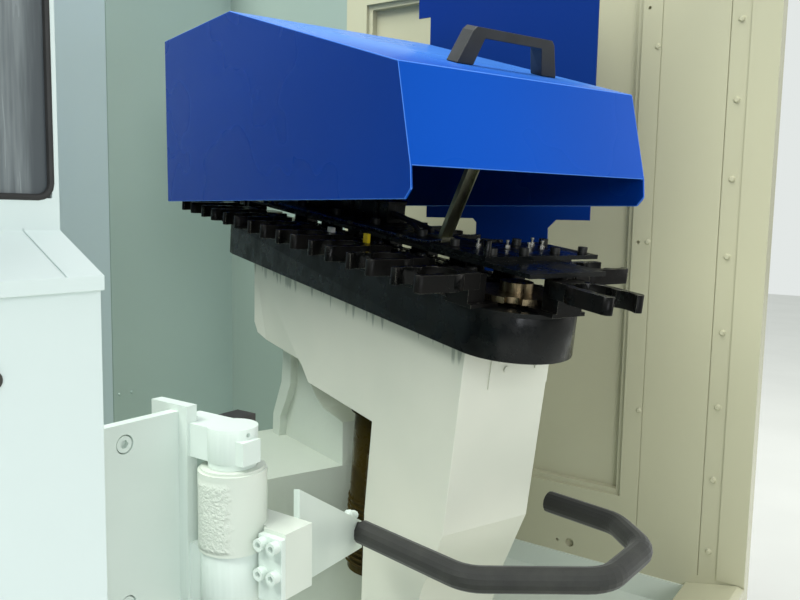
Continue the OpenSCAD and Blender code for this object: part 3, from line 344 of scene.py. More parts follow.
PILLAR_PAINT = enamel("pale_enamel_casting", "#c6cec3", "#b8c1b4", rough=0.4, lump_mm=24)
CAST = cast_paint("brushed_enamel_on_casting")
SKIN = cast_paint("brushed_enamel_on_sand_skin", "#d5dcd1", "#ccd4c9", True)
STAND = stand_enamel("beige_grey_enamel_sheet")
BLUE = powder_coat("blue_powder_coat")
# painted highlight: a paler blue on the cover's rounded folds
BLUE_FOLD_HIGHLIGHT = powder_coat("blue_powder_coat_painted_fold_highlight", "#4f83dc", "#3a6fcd", "#3868bd", "#4f83dc",
                        0.22)
BLUE_DEEP = powder_coat("deep_blue_powder_coat", "#082f7c", "#062a6e", "#062a6e", "#082f7c", 0.34)
BLACK = oily_black("oiled_black_enamel")
MOTOR = oily_black("oiled_motor_enamel", "#3a300e", "#2a220c", 0.08)
EDGE = worn_edge("rubbed_black_edge")
NYLON = moulded_nylon("moulded_black_nylon")
FORK = oily_black("oiled_fork_nylon", "#060707", "#0d0b0a", 0.12)
SWITCH = moulded_nylon("moulded_switch_housing", "#2a2a27", "#34332f", 0.5)
KEYS = moulded_nylon("moulded_grey_keys", "#70757a", "#646a6e", 0.5)
KNOB = moulded_nylon("moulded_knob_black", "#26282a", "#303234", 0.35)
FOAM = cell_foam("closed_cell_foam")
SEAL = moulded_nylon("extruded_black_rubber", "#1b1b1b", "#242424", 0.6)
GROUND = steel("ground_steel", "#b9bcbd", "#a4a8aa", 0.28, 1.2, (0.02, 1, 1))
ZINC = steel("zinc_plated_strip", "#a3a38c", "#7e8070", 0.34, 3.0, (1, 0.3, 0.04))
WHEEL = steel("oiled_wheel_steel", "#8f8168", "#6b5f4a", 0.3, 2.0, (1, 1, 0.1))
IRON = steel("machined_grey_iron", "#8b9093", "#777c7f", 0.4, 1.5, (0.02, 1, 1))
DARK = steel("blackened_steel", "#4a4a49", "#363636", 0.45, 2.0)
PANE = smoked_pane("smoked_polycarbonate")
SCREEN = moulded_nylon("dark_screen_glass", "#14181b", "#171c20", 0.08)
RED = moulded_nylon("moulded_red_plastic", "#c0241b", "#b01f17", 0.25)
LENS = moulded_nylon("ribbed_lamp_lens", "#7d8a3c", "#74813a", 0.2)
LENS_CLEAR = moulded_nylon("opal_lamp_tube", "#e9ece8", "#e2e5e0", 0.2)
CHAIN = oily_black("oiled_chain_steel", "#2a2724", "#1c1a18")
BRIGHT = steel("bright_turned_steel", "#c9c8c0", "#a5a49b", 0.22, 1.0, (1, 1, 0.1))
TAG = moulded_nylon("moulded_tag_plastic", "#e3c400", "#cdb100", 0.4)
TAG_PAIR = tag_plastic("moulded_plastic_of_two_tags")

FINISHES = {
    MINT: ["front_panel", "left_door", "right_door"],
    PALE: ["top_frame", "electrical_cabinet", "cabinet_door", "spindle_head",
           "operator_console"],
    WALL: ["back_wall", "partition"],
    BEIGE: ["bay_sill"],
    RIGHT_SHEETS: ["right_wall"],
    LEFT_SHEETS: ["left_wall"],
    FLOOR_PAINT: ["bay_floor"],
    BED_PAINT: ["base_bed", "x_carriage", "column"],
    PILLAR_PAINT: ["pillar"],
    SKIN: ["hinge_barrel"],
    CAST: ["hinge_bracket", "clamp_plate", "clamp_screws", "arm_plate",
           "bracket_screws", "hinge_pin"],
    STAND: ["stand", "stand_cover_plate"],
    BLUE: ["magazine_cover"],
    BLUE_DEEP: ["guard_plate"],
    BLACK: ["magazine_housing", "magazine_deck", "magazine_top_plate"],
    MOTOR: ["magazine_motor"],
    NYLON: ["cover_handle"],
    FORK: ["near_forks", "far_forks", "front_forks", "rear_forks"],
    SWITCH: ["limit_switch"],
    KEYS: ["console_keys"],
    KNOB: ["override_knob"],
    FOAM: ["foam_sleeve"],
    GROUND: ["x_rails", "spindle", "door_rails"],
    ZINC: ["cover_stay", "cover_hinge_brackets", "cover_hinge_leaves"],
    WHEEL: ["front_wheel", "rear_wheel"],
    IRON: ["work_table"],
    DARK: ["levelling_feet", "top_plate_studs", "handle_tube"],
    PANE: ["front_window", "left_door_window", "right_door_window"],
    SCREEN: ["console_screen"],
    RED: ["stop_button"],
    TAG_PAIR: ["pocket_tags"],
}


for finish, nodes in FINISHES.items():
    for node in nodes:
        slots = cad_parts[node].data.materials
        slots.clear()
        slots.append(finish)


def soften(node, width_mm, segments=2, edge=None):
    """Rounds a CAD node's sharp edges by width_mm, with another finish on them if given."""
    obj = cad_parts[node]
    weld = obj.modifiers.new("join", "WELD")
    weld.merge_threshold = 0.005 * MM
    bevel = obj.modifiers.new("round", "BEVEL")
    bevel.width = width_mm * MM
    bevel.segments = segments
    bevel.limit_method = "ANGLE"
    bevel.angle_limit = math.radians(30)
    bevel.harden_normals = True
    if edge:
        obj.data.materials.append(edge)
        bevel.material = len(obj.data.materials) - 1


# Radius in millimetres, and the nodes whose edges have it
ROUNDED = {
    1.6: ["stand", "front_panel", "left_door", "right_door", "clamp_plate",
          "bay_sill", "cover_handle", "electrical_cabinet", "cabinet_door", "spindle_head"],
    2.5: ["hinge_bracket", "pillar", "base_bed", "operator_console"],
    0.8: ["magazine_housing", "limit_switch", "arm_plate", "work_table"],
}
for width, nodes in ROUNDED.items():
    for node in nodes:
        soften(node, width)
# the cover's folds take the paler blue as a painted highlight
soften("magazine_cover", 1.3, 2, BLUE_FOLD_HIGHLIGHT)
for node in ("near_forks", "far_forks", "front_forks", "rear_forks", "magazine_top_plate"):
    soften(node, 0.9, 1, EDGE)


# Extra pieces. Places are in millimetres in the machine's frame
def slab(low, high):
    """A block between two corners."""
    verts = [(x, y, z) for x in (low[0], high[0]) for y in (low[1], high[1])
             for z in (low[2], high[2])]
    return verts, [(0, 1, 3, 2), (4, 6, 7, 5), (0, 4, 5, 1), (2, 3, 7, 6), (0, 2, 6, 4),
                   (1, 5, 7, 3)]


def tube(points, radius, sides=10, closed=False):
    """A round bar along points. It is capped where it is open. A radius may be given per point."""
    points = [Vector(p) for p in points]
    count = len(points)
    radii = radius if isinstance(radius, (list, tuple)) else [radius] * count
    normal = None
    verts, faces = [], []
    for i, point in enumerate(points):
        before = points[i - 1] if i or closed else point
        after = points[(i + 1) % count] if i < count - 1 or closed else point
        tangent = (after - before).normalized()
        if normal is None:
            helper = Vector((0, 0, 1)) if abs(tangent.z) < 0.9 else Vector((1, 0, 0))
            normal = helper - tangent * helper.dot(tangent)
        normal = (normal - tangent * normal.dot(tangent)).normalized()
        side = tangent.cross(normal)
        for k in range(sides):
            turn = 2 * math.pi * k / sides
            spoke = normal * math.cos(turn) + side * math.sin(turn)
            verts.append(tuple(point + spoke * radii[i]))
    for i in range(count if closed else count - 1):
        a, b = i * sides, (i + 1) % count * sides
        for k in range(sides):
            n = (k + 1) % sides
            faces.append((a + k, a + n, b + n, b + k))
    if not closed:
        faces.append(tuple(range(sides))[::-1])
        faces.append(tuple(range((count - 1) * sides, count * sides)))
    return verts, faces


def screw(at, axis, diameter, height):
    """A cap screw as two parts: a head with a chamfered rim, and a hexagon level with it."""
    at, axis = Vector(at), Vector(axis).normalized()
    radius = diameter / 2
    heights, radii = (0, height * 0.85, height), (radius, radius, radius * 0.88)
    head = tube([at + axis * h for h in heights], radii, 16)
    return head, tube([at + axis * (height + 0.05), at + axis * (height * 0.4)], radius * 0.5, 6)


def ring(at, axis, radius, thick, sides=32):
    """A round loop of bar round an axis."""
    at, axis = Vector(at), Vector(axis).normalized()
    one = axis.orthogonal().normalized()
    two = axis.cross(one)
    return tube([at + (one * math.cos(2 * math.pi * k / sides)
                       + two * math.sin(2 * math.pi * k / sides)) * radius
                 for k in range(sides)], thick, 8, True)


def loop(x0, x1, z0, z1, y, corner):
    """Points round a rectangle with round corners, standing across Y."""
    points = []
    for cx, cz, start_deg in ((x1 - corner, z0 + corner, -90), (x1 - corner, z1 - corner, 0),
                              (x0 + corner, z1 - corner, 90), (x0 + corner, z0 + corner, 180)):
        for k in range(5):
            turn = math.radians(start_deg + 22.5 * k)
            points.append((cx + corner * math.cos(turn), y, cz + corner * math.sin(turn)))
    return points


def bead(start_at, end_at, radius, seed):
    """A hand-laid weld: overlapping uneven lumps from one point to another."""
    draw = random.Random(seed)
    a, b = Vector(start_at), Vector(end_at)
    count = max(3, int((b - a).length / (radius * 0.9)))
    points, radii = [], []
    for i in range(count * 3):
        t = i / (count * 3 - 1)
        wobble = Vector([draw.uniform(-0.12, 0.12) * radius for _ in range(3)])
        points.append(a.lerp(b, t) + wobble)
        end = min(1.0, 0.35 + 4 * min(t, 1 - t))
        radii.append(radius * end * (0.84 + 0.16 * math.sin(i * 2.1) + draw.uniform(-0.05, 0.05)))
    return tube(points, radii, 10)


def piece(name, body, mat, parts, bevel_mm):
    """One mesh piece made of parts, in millimetres, that moves with a body. A bevel of 0 leaves
    its edges sharp."""
    verts, faces = [], []
    for part_verts, part_faces in parts:
        base = len(verts)
        verts += [tuple(c * MM for c in v) for v in part_verts]
        faces += [[i + base for i in face] for face in part_faces]
    mesh = bpy.data.meshes.new(name)
    mesh.from_pydata(verts, [], faces)
    mesh.polygons.foreach_set("use_smooth", [True] * len(mesh.polygons))
    mesh.set_sharp_from_angle(angle=math.radians(35))
    mesh.materials.append(mat)
    obj = bpy.data.objects.new(name, mesh)
    bpy.context.collection.objects.link(obj)
    if bevel_mm:
        bevel = obj.modifiers.new("round", "BEVEL")
        bevel.width = bevel_mm * MM
        bevel.segments = 2
        bevel.limit_method = "ANGLE"
        bevel.angle_limit = math.radians(40)
    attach(obj, body)


def deck(x, u, v):
    """A point of the magazine's tilted deck in the machine's frame: x across, u along, v up."""
    along = u * math.cos(MAG_RISE) - v * math.sin(MAG_RISE)
    high = u * math.sin(MAG_RISE) + v * math.cos(MAG_RISE)
    origin = MAG_ORIGIN / MM
    return Vector((origin.x + x * math.cos(MAG_TURN) + along * math.sin(MAG_TURN),
                   origin.y - x * math.sin(MAG_TURN) + along * math.cos(MAG_TURN),
                   origin.z + high))


DECK_UP = (deck(0, 0, 1) - deck(0, 0, 0)).normalized()


def corners(node):
    """The two ends of a node's box, in millimetres."""
    low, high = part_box(node)
    return Vector(low) / MM, Vector(high) / MM


def deck_slab(x, u, v):
    """A block in the deck's own directions, given as three ranges."""
    verts, faces = slab((x[0], u[0], v[0]), (x[1], u[1], v[1]))
    return [tuple(deck(*vert)) for vert in verts], faces


def deck_rod(x, u, v0, v1, radius, sides=14):
    """A bar that stands upright on the deck."""
    return tube([deck(x, u, v0), deck(x, u, v1)], radius, sides)


# Chain: link plates and pins between the pockets' slide blocks. A wheel has four pockets, so the
# straight runs are a wheel's pitch radius to the left and to the right of the wheels' axes
PITCH = 113
PITCH_RADIUS = PITCH / (2 * math.sin(math.pi / 4))
FRONT_WHEEL_U = -30
SLIDE_HALF = 26
RUN_POCKETS = 8
for side, body in ((-1, "near_run"), (1, "far_run")):
    links, pins = [], []
    run_x = side * PITCH_RADIUS
    for k in range(RUN_POCKETS - 1):
        u0 = FRONT_WHEEL_U + k * PITCH + SLIDE_HALF
        u1 = FRONT_WHEEL_U + (k + 1) * PITCH - SLIDE_HALF
        for v in (67.2, 73.4):
            links.append(deck_slab((run_x - 8, run_x + 8), (u0, u1), (v, v + 2.2)))
        for u in (u0 + 9, u1 - 9):
            pins.append(deck_rod(run_x, u, 66.8, 77.6, 4.2))
            pins.append(deck_rod(run_x, u, 69.6, 73.2, 7.4))
    piece("chain_links_" + body, body, CHAIN, links, 0.7)
    piece("chain_pins_" + body, body, BRIGHT, pins, 0)

# Lubrication: nipples on the upper plate and a pipe along the top plate's near edge
nipples = []
for x, u in ((0, 60), (42, 44), (62, 20), (104, 36), (112, 66)):
    foot = UPPER_PLATE
    for height, radius, sides in ((3.5, 4.4, 6), (5, 1.9, 14), (2.3, 2.7, 14)):
        nipples.append(deck_rod(x, u, foot, foot + height, radius, sides))
        foot += height
piece("grease_nipples", "frame", BRIGHT, nipples, 0)
PIPE_X, PIPE_RADIUS = -56, 2.4
pipe_v = TOP_PLATE + 2.6
pipe = [deck(-40, 96, UPPER_PLATE + 2), deck(-52, 110, pipe_v + 1.4), deck(PIPE_X, 130, pipe_v)]
pipe += [deck(PIPE_X + 1.2 * math.sin(k), 150 + 62 * k, pipe_v) for k in range(9)]
piece("grease_pipe", "frame", BRIGHT, [tube(pipe, PIPE_RADIUS, 8)], 0)
clips = []
for u in (180, 330, 480, 620):
    for left, right, height in ((6, 10, 1.2), (3.6, 3.6, 6.2)):
        clips.append(deck_slab((PIPE_X - left, PIPE_X + right), (u - 5, u + 5),
                               (TOP_PLATE, TOP_PLATE + height)))
    clips.append(screw(deck(PIPE_X + 7.4, u, TOP_PLATE + 1), DECK_UP, 5, 2.4)[0])
piece("grease_pipe_clips", "frame", DARK, clips, 0.5)

# Sensor cables: a black duct with a lid on the top plate, and two leads out of its front end.
# They also stand in for the shade over the chain: dark pieces that hide the pale wall behind
duct_foot = TOP_PLATE - 0.2
duct = [deck_slab((30, 68), (350, 660), (duct_foot, 158)),
        deck_slab((28, 70), (348, 662), (156, 161))]
duct += [deck_slab((26, 72), (u, u + 12), (duct_foot, 162)) for u in (380, 470, 560, 640)]
piece("sensor_duct_standing_in_for_shade", "frame", BLACK, duct, 1.2)
# each lead starts inside the duct and falls in a bow onto the top plate, in LEAD_STEPS steps
LEAD_STEPS, LEAD_U = 12, 356
leads = []
for x0, x1, u1, v0 in ((42, 20, 236, 140), (56, 66, 262, 134)):
    lead = []
    for i in range(LEAD_STEPS + 1):
        t = i / LEAD_STEPS
        lead.append(deck(x0 + (x1 - x0) * t * t, LEAD_U + (u1 - LEAD_U) * t,
                         v0 + (TOP_PLATE + 1 - v0) * t * t))
    leads.append(tube(lead, 4.5, 12))
piece("sensor_leads_standing_in_for_shade", "frame", SEAL, leads, 0)


def level_way(degrees):
    """A level direction, as an angle from +X towards +Y."""
    return Vector((math.cos(math.radians(degrees)), math.sin(math.radians(degrees)), 0))


# Welds on the swinging arm: two along the handle's tube, three upright ones at the arm plate
lug_x = corners("hinge_barrel")[1].x + 0.5
plate_end = Vector((243.5, -652, 0))
weld_from, weld_to = (plate_end + level_way(24.2) * d + Vector((0, 0, z))
                      for d, z in ((240, 858), (292, 838)))
piece("arm_welds", "swing_arm", CAST, [
    bead(weld_from + Vector((0, 0, 9)), weld_to + Vector((0, 0, 8)), 7, 3),
    bead(weld_from + Vector((-3, 6, 2)), weld_to + Vector((-1, 7, 2)), 5, 4),
    bead((lug_x, -656, 886), (lug_x, -656, 950), 3.2, 5),
    bead((lug_x, -642, 890), (lug_x, -642, 950), 3.2, 6),
    bead((204, -646, 930), (204, -646, 955), 3.4, 7)], 0)

# Free end of the foam sleeve: a moulded plug with a rim
plug_at = Vector((783, -727, 831))
plug = [plug_at + level_way(78.1) * d for d in (-2, -0.4, 0.4)]
piece("handle_end_plug", "swing_arm", NYLON, [tube(plug, [13, 13, 11.6], 24)], 0)

# Window gaskets, door seals and hanger rollers
for node, body in (("left_door_window", "left_door"), ("right_door_window", "right_door"),
                   ("front_window", "frame")):
    low, high = corners(node)
    piece(node + "_gasket", body, SEAL, [
        tube(loop(low.x, high.x, low.z, high.z, low.y - 1, 9), 2.2, 8, True)], 0)
door_low, door_high = corners("left_door")
seal_x, seal_y = door_high.x - 0.5, door_low.y + 56
piece("door_edge_seal", "left_door", SEAL, [
    tube([(seal_x, seal_y, door_low.z + 6), (seal_x, seal_y, door_low.z + 696)], 4, 10)], 0)
for door in ("left_door", "right_door"):
    low, high = corners(door)
    rollers = []
    for x in (low.x + 60, high.x - 60):
        rollers.append(tube([(x, low.y + 45, high.z - 5), (x, low.y + 67, high.z - 5)], 3.4, 10))
        rollers.append(tube([(x, low.y + 63, high.z - 16), (x, low.y + 69, high.z - 16)], 11, 20))
    piece(door + "_rollers", door, BRIGHT, rollers, 0.4)

# Operator console: bezel, collar of the stop button, dial marks, pilot lamps and screws
# Its face starts 90 mm over its lower edge, and leans back 54 mm on a rise of 190 mm
CONSOLE_AT = corners("operator_console")[0]
FACE_FOOT = 90
FACE_SLOPE = math.atan2(190, 54)


def on_console(x, y, z):
    """A point on the console's sloped face: x across, y up the slope, z out of it."""
    back, up_face = math.cos(FACE_SLOPE), math.sin(FACE_SLOPE)
    return CONSOLE_AT + Vector((x, y * back - z * up_face,
                                FACE_FOOT + y * up_face + z * back))


FACE_OUT = (on_console(0, 0, 1) - on_console(0, 0, 0)).normalized()
bezel = [on_console(x, z, y) for x, y, z in loop(224, 406, 24, 146, 2, 8)]
piece("screen_bezel", "frame", KNOB, [tube(bezel, 3.6, 8, True)], 0)
piece("stop_button_collar", "frame", TAG, [
    tube([on_console(100, 150, 0.1), on_console(100, 150, 2.4)], [25, 24], 32)], 0)
marks = []
for k in range(11):
    turn = math.radians(-150 + 30 * k)
    marks.append(tube([on_console(190 + r * math.sin(turn), 150 + r * math.cos(turn), 0.4)
                       for r in (18, 22)], 0.6, 6))
piece("knob_marks", "frame", KEYS, marks, 0)
piece("pilot_lamps", "frame", LENS, [
    tube([on_console(x, 150, h) for h in (0.1, 3, 5.4, 6.2)], [7, 7, 4.6, 1.2], 18)
    for x in (30, 52, 74)], 0)
piece("console_screws", "frame", GROUND, [
    part for x, y in ((10, 10), (410, 10), (10, 182), (410, 182))
    for part in screw(on_console(x, y, 0), FACE_OUT, 7, 2.6)], 0)

# Front panel: a service hatch with quarter-turn locks, and a plug beside the post
hatch_y = corners("front_panel")[0].y
sheet_y = hatch_y + 4
hatch = [slab((-1010, hatch_y, 230), (-330, sheet_y + 0.5, 860))]
hatch += [tube([(-1004, hatch_y, z - 26), (-1004, hatch_y, z + 26)], 5, 12) for z in (330, 760)]
piece("service_hatch", "frame", MINT, hatch, 2.0)
lock_x, locks = -356, []
for z in (340, 750):
    locks.append(tube([(lock_x, hatch_y + 0.4, z), (lock_x, hatch_y - 3, z),
                       (lock_x, hatch_y - 4, z)], [11, 11, 9.6], 24))
    locks.append(slab((lock_x - 2, hatch_y - 6, z - 7), (lock_x + 2, hatch_y - 3.8, z + 7)))
piece("hatch_locks", "frame", SWITCH, locks, 0.4)
piece("panel_plug", "frame", SWITCH, [
    tube([(-181, sheet_y - d, 1206) for d in (0, 2.2, 3)], [5.5, 5.5, 4], 20)], 0)

# Cabinet: fan grille on its left side, isolator on its right one, a conduit to the back wall
cab_low, cab_high = corners("electrical_cabinet")
CABINET_LEFT, CABINET_RIGHT = -1000, 600
proud, inset = CABINET_LEFT - 9, CABINET_LEFT + 0.5
grille = [slab((proud, y0, z0), (inset, y1, z1)) for y0, y1, z0, z1 in (
    (620, 634, 1440, 1680), (846, 860, 1440, 1680), (634, 846, 1440, 1454),
    (634, 846, 1666, 1680))]
SLAT_FACES = [(0, 1, 2, 3), (7, 6, 5, 4), (0, 4, 5, 1), (1, 5, 6, 2), (2, 6, 7, 3), (3, 7, 4, 0)]
for k in range(14):
    z = 1462 + 15 * k
    slat = []
    for x0, z0, x1, z1 in ((-8, 0, -0.4, 9), (-7, -1.6, 0.4, 7)):
        slat += [(CABINET_LEFT + x0, 634, z + z0), (CABINET_LEFT + x0, 846, z + z0),
                 (CABINET_LEFT + x1, 846, z + z1), (CABINET_LEFT + x1, 634, z + z1)]
    grille.append((slat, SLAT_FACES))
piece("fan_grille", "frame", KEYS, grille, 0.8)
ISOLATOR_Y, ISOLATOR_Z = 730, 1250
piece("isolator_plate", "frame", TAG, [
    tube([(CABINET_RIGHT + d, ISOLATOR_Y, ISOLATOR_Z) for d in (0.2, 3, 4)], [42, 42, 40], 40)],
    0)
piece("isolator_handle", "frame", RED, [
    tube([(CABINET_RIGHT + d, ISOLATOR_Y, ISOLATOR_Z) for d in (4, 22, 26)], [22, 22, 18], 32),
    slab((CABINET_RIGHT + 18, ISOLATOR_Y - 9, ISOLATOR_Z - 34),
         (CABINET_RIGHT + 34, ISOLATOR_Y + 9, ISOLATOR_Z + 34))], 2.5)
CONDUIT_X, CONDUIT_Y, BEND_RADIUS = -700, 700, 60
roof_z, bend_z = cab_high.z, cab_high.z + 30
wall_z = bend_z + BEND_RADIUS
conduit = [(CONDUIT_X, CONDUIT_Y, roof_z - 26), (CONDUIT_X, CONDUIT_Y, bend_z)]
for k in range(1, 7):
    turn = math.radians(15 * k)
    conduit.append((CONDUIT_X, CONDUIT_Y - BEND_RADIUS + BEND_RADIUS * math.cos(turn),
                    bend_z + BEND_RADIUS * math.sin(turn)))
conduit.append((CONDUIT_X, 549, wall_z))
piece("power_conduit", "frame", ZINC, [tube(conduit, 17, 20)], 0)
piece("conduit_nuts", "frame", GROUND, [
    tube([(CONDUIT_X, CONDUIT_Y, roof_z + 0.2), (CONDUIT_X, CONDUIT_Y, roof_z + 14)], 26, 6),
    tube([(CONDUIT_X, 547.4, wall_z), (CONDUIT_X, 561, wall_z)], 26, 6)], 0.8)

# Inside the cabinet: mounting plate, wire ducts and rows of switchgear
plate_y = cab_low.y + 20


def in_cabinet(x, depth, z):
    """A block in the cabinet, given as three ranges. Its depth counts from the plate's back."""
    return slab((x[0], plate_y + depth[0], z[0]), (x[1], plate_y + depth[1], z[1]))


# Depth ranges: the plate, then boxes that are sunk half a millimetre into its face
PLATE, DUCT, DRIVE = (-0.5, 3), (2.5, 48), (2.5, 84)
piece("cabinet_plate", "frame", GROUND, [in_cabinet((-960, 560), PLATE, (190, 1860))], 0.8)
DUCT_ROWS = (250, 640, 980, 1290, 1560, 1800)
ducts = [in_cabinet((-900, 500), DUCT, (z - 22, z + 22)) for z in DUCT_ROWS]
ducts += [in_cabinet((x - 22, x + 22), DUCT, (190, 1860)) for x in (-922, 522)]
ducts += [in_cabinet((x - 2, x + 2), (47.5, 49), (z - 19, z + 19))
          for z in DUCT_ROWS for x in range(-880, 490, 20)]
piece("cabinet_ducts", "frame", KEYS, ducts, 0.8)
drives, breakers, levers, terminals = [], [], [], []
for x in range(-860, -99, 190):
    drives.append(in_cabinet((x, x + 160), DRIVE, (690, 940)))
    drives.append(in_cabinet((x + 12, x + 148), (83, 88), (850, 925)))
    drives += [in_cabinet((x + 14, x + 146), (83.5, 85.5), (z, z + 5))
               for z in range(704, 815, 10)]
for x in range(-870, 373, 54):
    breakers.append(in_cabinet((x, x + 50), (2.5, 40), (1085, 1185)))
    breakers.append(in_cabinet((x, x + 50), (39, 56), (1112, 1158)))
    levers.append(in_cabinet((x + 16, x + 34), (55, 66), (1128, 1140)))
for x in range(-870, 301, 90):
    breakers.append(in_cabinet((x, x + 74), (2.5, 60), (1370, 1480)))
    levers.append(in_cabinet((x + 12, x + 62), (59, 66), (1400, 1450)))
for k in range(110):
    x = -870 + 12.2 * k
    for z in (420, 1680):
        terminals.append(in_cabinet((x, x + 10.4), (2.5, 36), (z - 24, z + 24)))
piece("cabinet_drives", "frame", SWITCH, drives, 1.0)
piece("cabinet_breakers", "frame", LENS_CLEAR, breakers, 0.8)
piece("cabinet_levers", "frame", KNOB, levers, 0.8)
piece("cabinet_terminals", "frame", KEYS, terminals, 0)

# Back: two screwed covers beside the cabinet, a cable duct and an air inlet
back_y = corners("back_wall")[1].y
covers, cover_bolts = [], []
for z0, z1 in ((520, 1160), (1190, 1900)):
    covers.append(slab((690, back_y - 0.5, z0), (1230, back_y + 2.5, z1)))
    middle = (960, (z0 + z1) / 2)
    for x in (706, middle[0], 1214):
        for z in (z0 + 16, middle[1], z1 - 16):
            if (x, z) != middle:
                cover_bolts.append(tube([(x, back_y + d, z) for d in (2.4, 5, 5.8)],
                                        [6.5, 6.5, 4.5], 16))
piece("rear_covers", "frame", PALE, covers, 1.2)
piece("rear_cover_screws", "frame", GROUND, cover_bolts, 0)
piece("cable_duct", "frame", PALE, [
    slab((-1230, back_y - 0.5, 560), (-1150, back_y + 46, 1960)),
    slab((-1234, back_y + 44, 556), (-1146, back_y + 50, 1964)),
    slab((-1150, back_y - 0.5, 1500), (-996, back_y + 34, 1560))], 2.0)
AIR_X = 664
bowl_y = back_y + 44
piece("air_inlet_body", "frame", SWITCH, [
    slab((AIR_X - 18, back_y - 0.5, 660), (AIR_X + 18, back_y + 24, 752)),
    tube([(AIR_X, bowl_y, z) for z in (664, 716, 730)], [18, 22, 22], 24),
    tube([(AIR_X, bowl_y, z) for z in (730, 752, 758)], [15, 15, 11], 24),
    slab((AIR_X - 8, back_y + 20, 716), (AIR_X + 8, back_y + 36, 740))], 1.2)

# Levelling nuts, and the X axis: ball screw, bearing blocks and nut
nuts = []
for x in (-1120, 0, 1120):
    for y in (-580, 440):
        nuts.append(tube([(x, y, 39), (x, y, 54)], 27, 6))
        nuts.append(tube([(x, y, 54), (x, y, 57)], 24, 24))
piece("levelling_nuts", "frame", DARK, nuts, 1.0)
SCREW_Y, SCREW_Z = 240, 672
thread = [(x, SCREW_Y, SCREW_Z) for x in range(-1170, 391, 5)]
piece("x_ball_screw", "frame", GROUND, [
    tube(thread, [15 if k % 2 else 16.4 for k in range(len(thread))], 16)], 0)
blocks = []
for x in (-1196, 372):
    blocks.append(slab((x, 190, 469), (x + 44, 290, 704)))
    blocks.append(slab((x - 6, 180, 469), (x + 50, 300, 500)))
piece("x_bearing_blocks", "frame", BED_PAINT, blocks, 3)
piece("x_screw_nut", "carriage", GROUND, [
    tube([(-760, SCREW_Y, SCREW_Z), (-744, SCREW_Y, SCREW_Z)], 38, 28),
    tube([(-744, SCREW_Y, SCREW_Z), (-690, SCREW_Y, SCREW_Z)], 27, 28),
    slab((-742, 205, 700), (-690, 275, 731))], 1)

# Head: coolant nozzles round the spindle. Column: lifting eyes on its roof
nozzles = []
for side in (-1, 1):
    foot = Vector((COLUMN_X + side * 96, -490, 1402))
    elbow = foot + Vector((0, 0, -42))
    nozzles.append(tube([foot, elbow, elbow + Vector((-side * 16, 10, -34))], [9, 8, 5.5], 14))
    nozzles.append(tube([foot + Vector((0, 0, -14)), foot], 13, 6))
piece("coolant_nozzles", "head", SWITCH, nozzles, 0.5)
EYES_AT = (COLUMN_X - 120, COLUMN_X + 120)
eyes = [ring((x, 240, 1918), (0, 1, 0), 15, 5) for x in EYES_AT]
eyes += [tube([(x, 240, 1899), (x, 240, 1905)], 14, 20) for x in EYES_AT]
piece("lifting_eyes", "column", GROUND, eyes, 0)

# Work lamp under the middle beam, on the work area's side
LAMP_X = -176
lamp_body = [slab((LAMP_X - 4, -560, 2014), (LAMP_X + 8, 160, 2038))]
lamp_body += [slab((LAMP_X - 24, y, 2004), (LAMP_X + 10, y + 12, 2036)) for y in (-566, 154)]
piece("work_lamp_body", "frame", GROUND, lamp_body, 1.2)
piece("work_lamp_glass", "frame", LENS_CLEAR, [
    tube([(LAMP_X - 12, -556, 2020), (LAMP_X - 12, 156, 2020)], 11, 20)], 0)

# Drain in the bay's floor: a rim and five bars. Screws of the guard plate's two brackets
DRAIN_X, DRAIN_Y = 1120, -420
drain = [ring((DRAIN_X, DRAIN_Y, BAY_FLOOR + 1), (0, 0, 1), 46, 3.2)]
drain += [slab((DRAIN_X - half, DRAIN_Y + y - 3, BAY_FLOOR + 0.2),
               (DRAIN_X + half, DRAIN_Y + y + 3, BAY_FLOOR + 2.6))
          for y, half in ((-32, 30), (-16, 40), (0, 44), (16, 40), (32, 30))]
piece("bay_drain", "frame", GROUND, drain, 0.5)
GUARD_X = 1010
guard_top = corners("guard_plate")[1].z
bolts = [tube([(GUARD_X - d, y, z) for d in (0.1, 3.5, 5)], [7, 7, 4.5], 20)
         for z in (guard_top - 495, guard_top - 155) for y in (-510, -490)]
piece("guard_screws", "frame", BLUE_DEEP, bolts, 0)

# Motor: terminal box lid, gland, flange screws, ribs and the conduit down to the floor. Its flange
# is at MOTOR_AT in the magazine's level directions, and its lower end leans to the back
MOTOR_AT = (30, 330, 971.2)
MOTOR_TILT = math.atan2(23, 226)


def on_motor(x, y, z):
    """A point in the motor's own directions, from the middle of its flange."""
    y, z = (y * math.cos(MOTOR_TILT) - z * math.sin(MOTOR_TILT),
            y * math.sin(MOTOR_TILT) + z * math.cos(MOTOR_TILT))
    x, y, z = x + MOTOR_AT[0], y + MOTOR_AT[1], z + MOTOR_AT[2]
    origin = MAG_ORIGIN / MM
    return Vector((origin.x + x * math.cos(MAG_TURN) + y * math.sin(MAG_TURN),
                   origin.y - x * math.sin(MAG_TURN) + y * math.cos(MAG_TURN), z))


